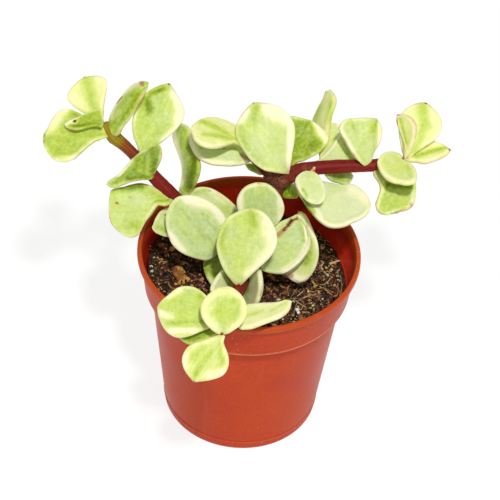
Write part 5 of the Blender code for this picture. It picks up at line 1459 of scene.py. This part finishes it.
def twigs(name, items, seed, slot):
    """Single root hairs and slivers along picture points: points, width in mm, lift, colour."""
    rng = np.random.default_rng(seed)
    heap = Heap()
    for points, width, lift, colour in items:
        px = smooth_curve(points, np.linspace(0, 1, 18))
        k = np.linspace(0, 1, 18)
        path = np.array([on_bed(*q) for q in px])
        path[:, 2] = np.maximum(path[:, 2], np.convolve(np.pad(path[:, 2], 2, mode="edge"), np.ones(5) / 5, "valid"))
        path = path + np.outer(lift * np.sin(np.pi * k) ** 0.8 + width / 3, BACK)
        radius = width / 2 * (1 - 0.35 * k) * (1 + 0.15 * rng.normal(size=18))
        v, f, _ = tube(path, list(np.abs(radius) + 0.01), 7)
        heap.add(v, f, shade_of(colour, rng, 0.06))
    return heap.piece(name, FIBRE, slot)


def fibres(name, count, seed, centre, spread, lengths, radii, lift):
    """Thin root hairs lying on the mix, as one piece."""
    rng = np.random.default_rng(seed)
    heap = Heap()
    colours = [RUSSET, TAN, TAN, GOLD, PALE]
    for _ in range(count):
        while True:
            x, y = centre[0] + rng.normal() * spread[0], centre[1] + rng.normal() * spread[1]
            if math.hypot(x, y) < 23.0 and clear_of_stems(x, y, 0.5):
                break
        length = lengths[0] + (lengths[1] - lengths[0]) * rng.random()
        course, bend = 2 * math.pi * rng.random(), rng.normal() * 1.3
        steps = 12
        path = []
        for k in range(steps):
            path.append((x, y))
            course += bend / steps + rng.normal() * 0.16
            nx, ny = x + length / steps * math.cos(course), y + length / steps * math.sin(course)
            if math.hypot(nx, ny) > 24.2:
                course += 0.9
                nx, ny = x * 0.99, y * 0.99
            x, y = nx, ny
        path = np.array(path)
        k = np.linspace(0, 1, steps)
        z = bed_height(path[:, 0], path[:, 1])
        z = np.maximum(z, np.convolve(np.pad(z, 2, mode="edge"), np.ones(5) / 5, "valid"))
        z = z + lift * (0.35 + rng.random()) * np.sin(np.pi * k) ** 1.2 + 0.05
        radius = (radii[0] + (radii[1] - radii[0]) * rng.random()) * (1 - 0.5 * k)
        v, f, _ = tube(np.column_stack([path, z]), list(radius), 6)
        heap.add(v, f, shade_of(colours[rng.integers(len(colours))], rng))
    return heap.piece(name, FIBRE, "bark")


# ---- build ------------------------------------------------------------------------
for number, (name, values) in enumerate(LEAVES.items()):
    leaf(name, *values, number)
for number, name in enumerate(STEMS):
    stem(name, number)
pot()
soil_bed()
crumbs("soil_crumbs_fine", 7200, 5, (0.22, 0.85), 0.75, EARTH, GRIT, "potting_mix", flat=False)
crumbs("soil_crumbs_coarse", 520, 6, (0.8, 1.9), 0.6, [(DARK, 0.35), (PEATY, 0.4), (RUSSET, 0.2), (TAN, 0.05)], GRIT, "potting_mix", detail=ICO2, flat=False)
crumbs("bark_splinters", 1150, 7, (0.5, 2.2), 0.22, WOODY, BARK, "bark", slim=(0.16, 0.4), sink=0.1)
crumbs("bark_bits", 260, 17, (0.5, 1.5), 0.35, WOODY, BARK, "bark", sink=0.15)
crumbs("perlite_grains", 60, 8, (0.2, 0.55), 0.8, CLEAN, PERLITE, "perlite", detail=ICO2, flat=False)
crumbs("lichen_bits", 110, 9, (0.25, 1.0), 0.7, MOSSY, GRIT, "bark", area=(18.5, 8.5, 2.4, 4.2), detail=ICO2, flat=False)
for name, (outline, facing, thickness, lift, near, far_side, curl) in CHIPS.items():
    grain = name.startswith("perlite")
    flake(name, outline, facing, thickness, lift, near, far_side, PERLITE if grain else BARK, curl)
lumps("shown_grains", GRAINS, 31, GRIT, "bark")
# a dried sheath where a leaf once sat on the right stem
flake("dried_sheath", [(307.4, 174.6), (310.6, 170.4), (314, 166.2), (315.6, 167.4), (314.6, 171), (317.2, 175), (313.6, 173.6), (310.4, 176)],
      (0.1, -0.7, 0.7), 0.25, 0.0, (206, 150, 96), (226, 186, 130), BARK, 0.2, (13.9, 6.6, 20.7 + POT_HEIGHT))
twigs("shown_roots", ROOTS, 32, "bark")
fibres("root_fibres_right", 26, 11, (15.0, -2.0), (5.0, 8.0), (2.0, 8.0), (0.05, 0.10), 0.9)
fibres("root_fibres_left", 16, 12, (-15.0, -4.0), (4.5, 6.0), (2.0, 6.0), (0.05, 0.10), 0.5)

# ---- stage: pale floor, soft light, and the camera --------------------------------------
floor_mesh = bpy.data.meshes.new("floor")
reach = 3.0
floor_mesh.from_pydata([(-reach, -reach, 0), (reach, -reach, 0), (reach, reach, 0), (-reach, reach, 0)], [], [(0, 1, 2, 3)])
floor = bpy.data.objects.new("floor", floor_mesh)
bpy.context.scene.collection.objects.link(floor)
g = Graph("pale_floor")
shade = g.noise(g.place(), 3.0, 2.0, 0.5)
floor_mesh.materials.append(g.finish(g.mix(shade, linear(128, 128, 128), linear(131, 131, 130)), 0.9, None, Specular_IOR_Level=0.0,
                                     Emission_Color=(1.0, 1.0, 1.0, 1.0), Emission_Strength=0.83))

world = bpy.data.worlds.new("studio")
bpy.context.scene.world = world
world.use_nodes = True
world.node_tree.nodes["Background"].inputs["Color"].default_value = (1.0, 1.0, 1.0, 1.0)
world.node_tree.nodes["Background"].inputs["Strength"].default_value = 0.42


def lamp(name, place, target, size, power, colour=(1.0, 1.0, 1.0)):
    light = bpy.data.lights.new(name, "AREA")
    light.shape = "DISK"
    light.size = size
    light.energy = power
    light.color = colour
    thing = bpy.data.objects.new(name, light)
    thing.location = place
    thing.rotation_euler = (Vector(target) - Vector(place)).to_track_quat("-Z", "Y").to_euler()
    bpy.context.scene.collection.objects.link(thing)
    return thing


lamp("key", (0.09, -0.41, 0.84), (0.0, 0.0, 0.05), 0.07, 5.2, (1.0, 0.99, 0.97))

camera_data = bpy.data.cameras.new("camera")
camera_data.sensor_width = 36.0
camera_data.lens = FOCAL / 500 * 36.0
camera_data.shift_x = (250 - CENTRE[0]) / 500
camera_data.shift_y = (CENTRE[1] - 250) / 500
camera_data.clip_start = 0.05
camera = bpy.data.objects.new("camera", camera_data)
camera.matrix_world = Matrix.Translation(Vector(EYE * MM)) @ Matrix(
    [(X_AXIS[k], Y_AXIS[k], BACK[k], 0) for k in range(3)] + [(0, 0, 0, 1)])
bpy.context.scene.collection.objects.link(camera)
bpy.context.scene.camera = camera
bpy.context.scene.view_settings.view_transform = "Standard"
bpy.context.scene.view_settings.look = "None"
bpy.context.scene.view_settings.exposure = 0.0
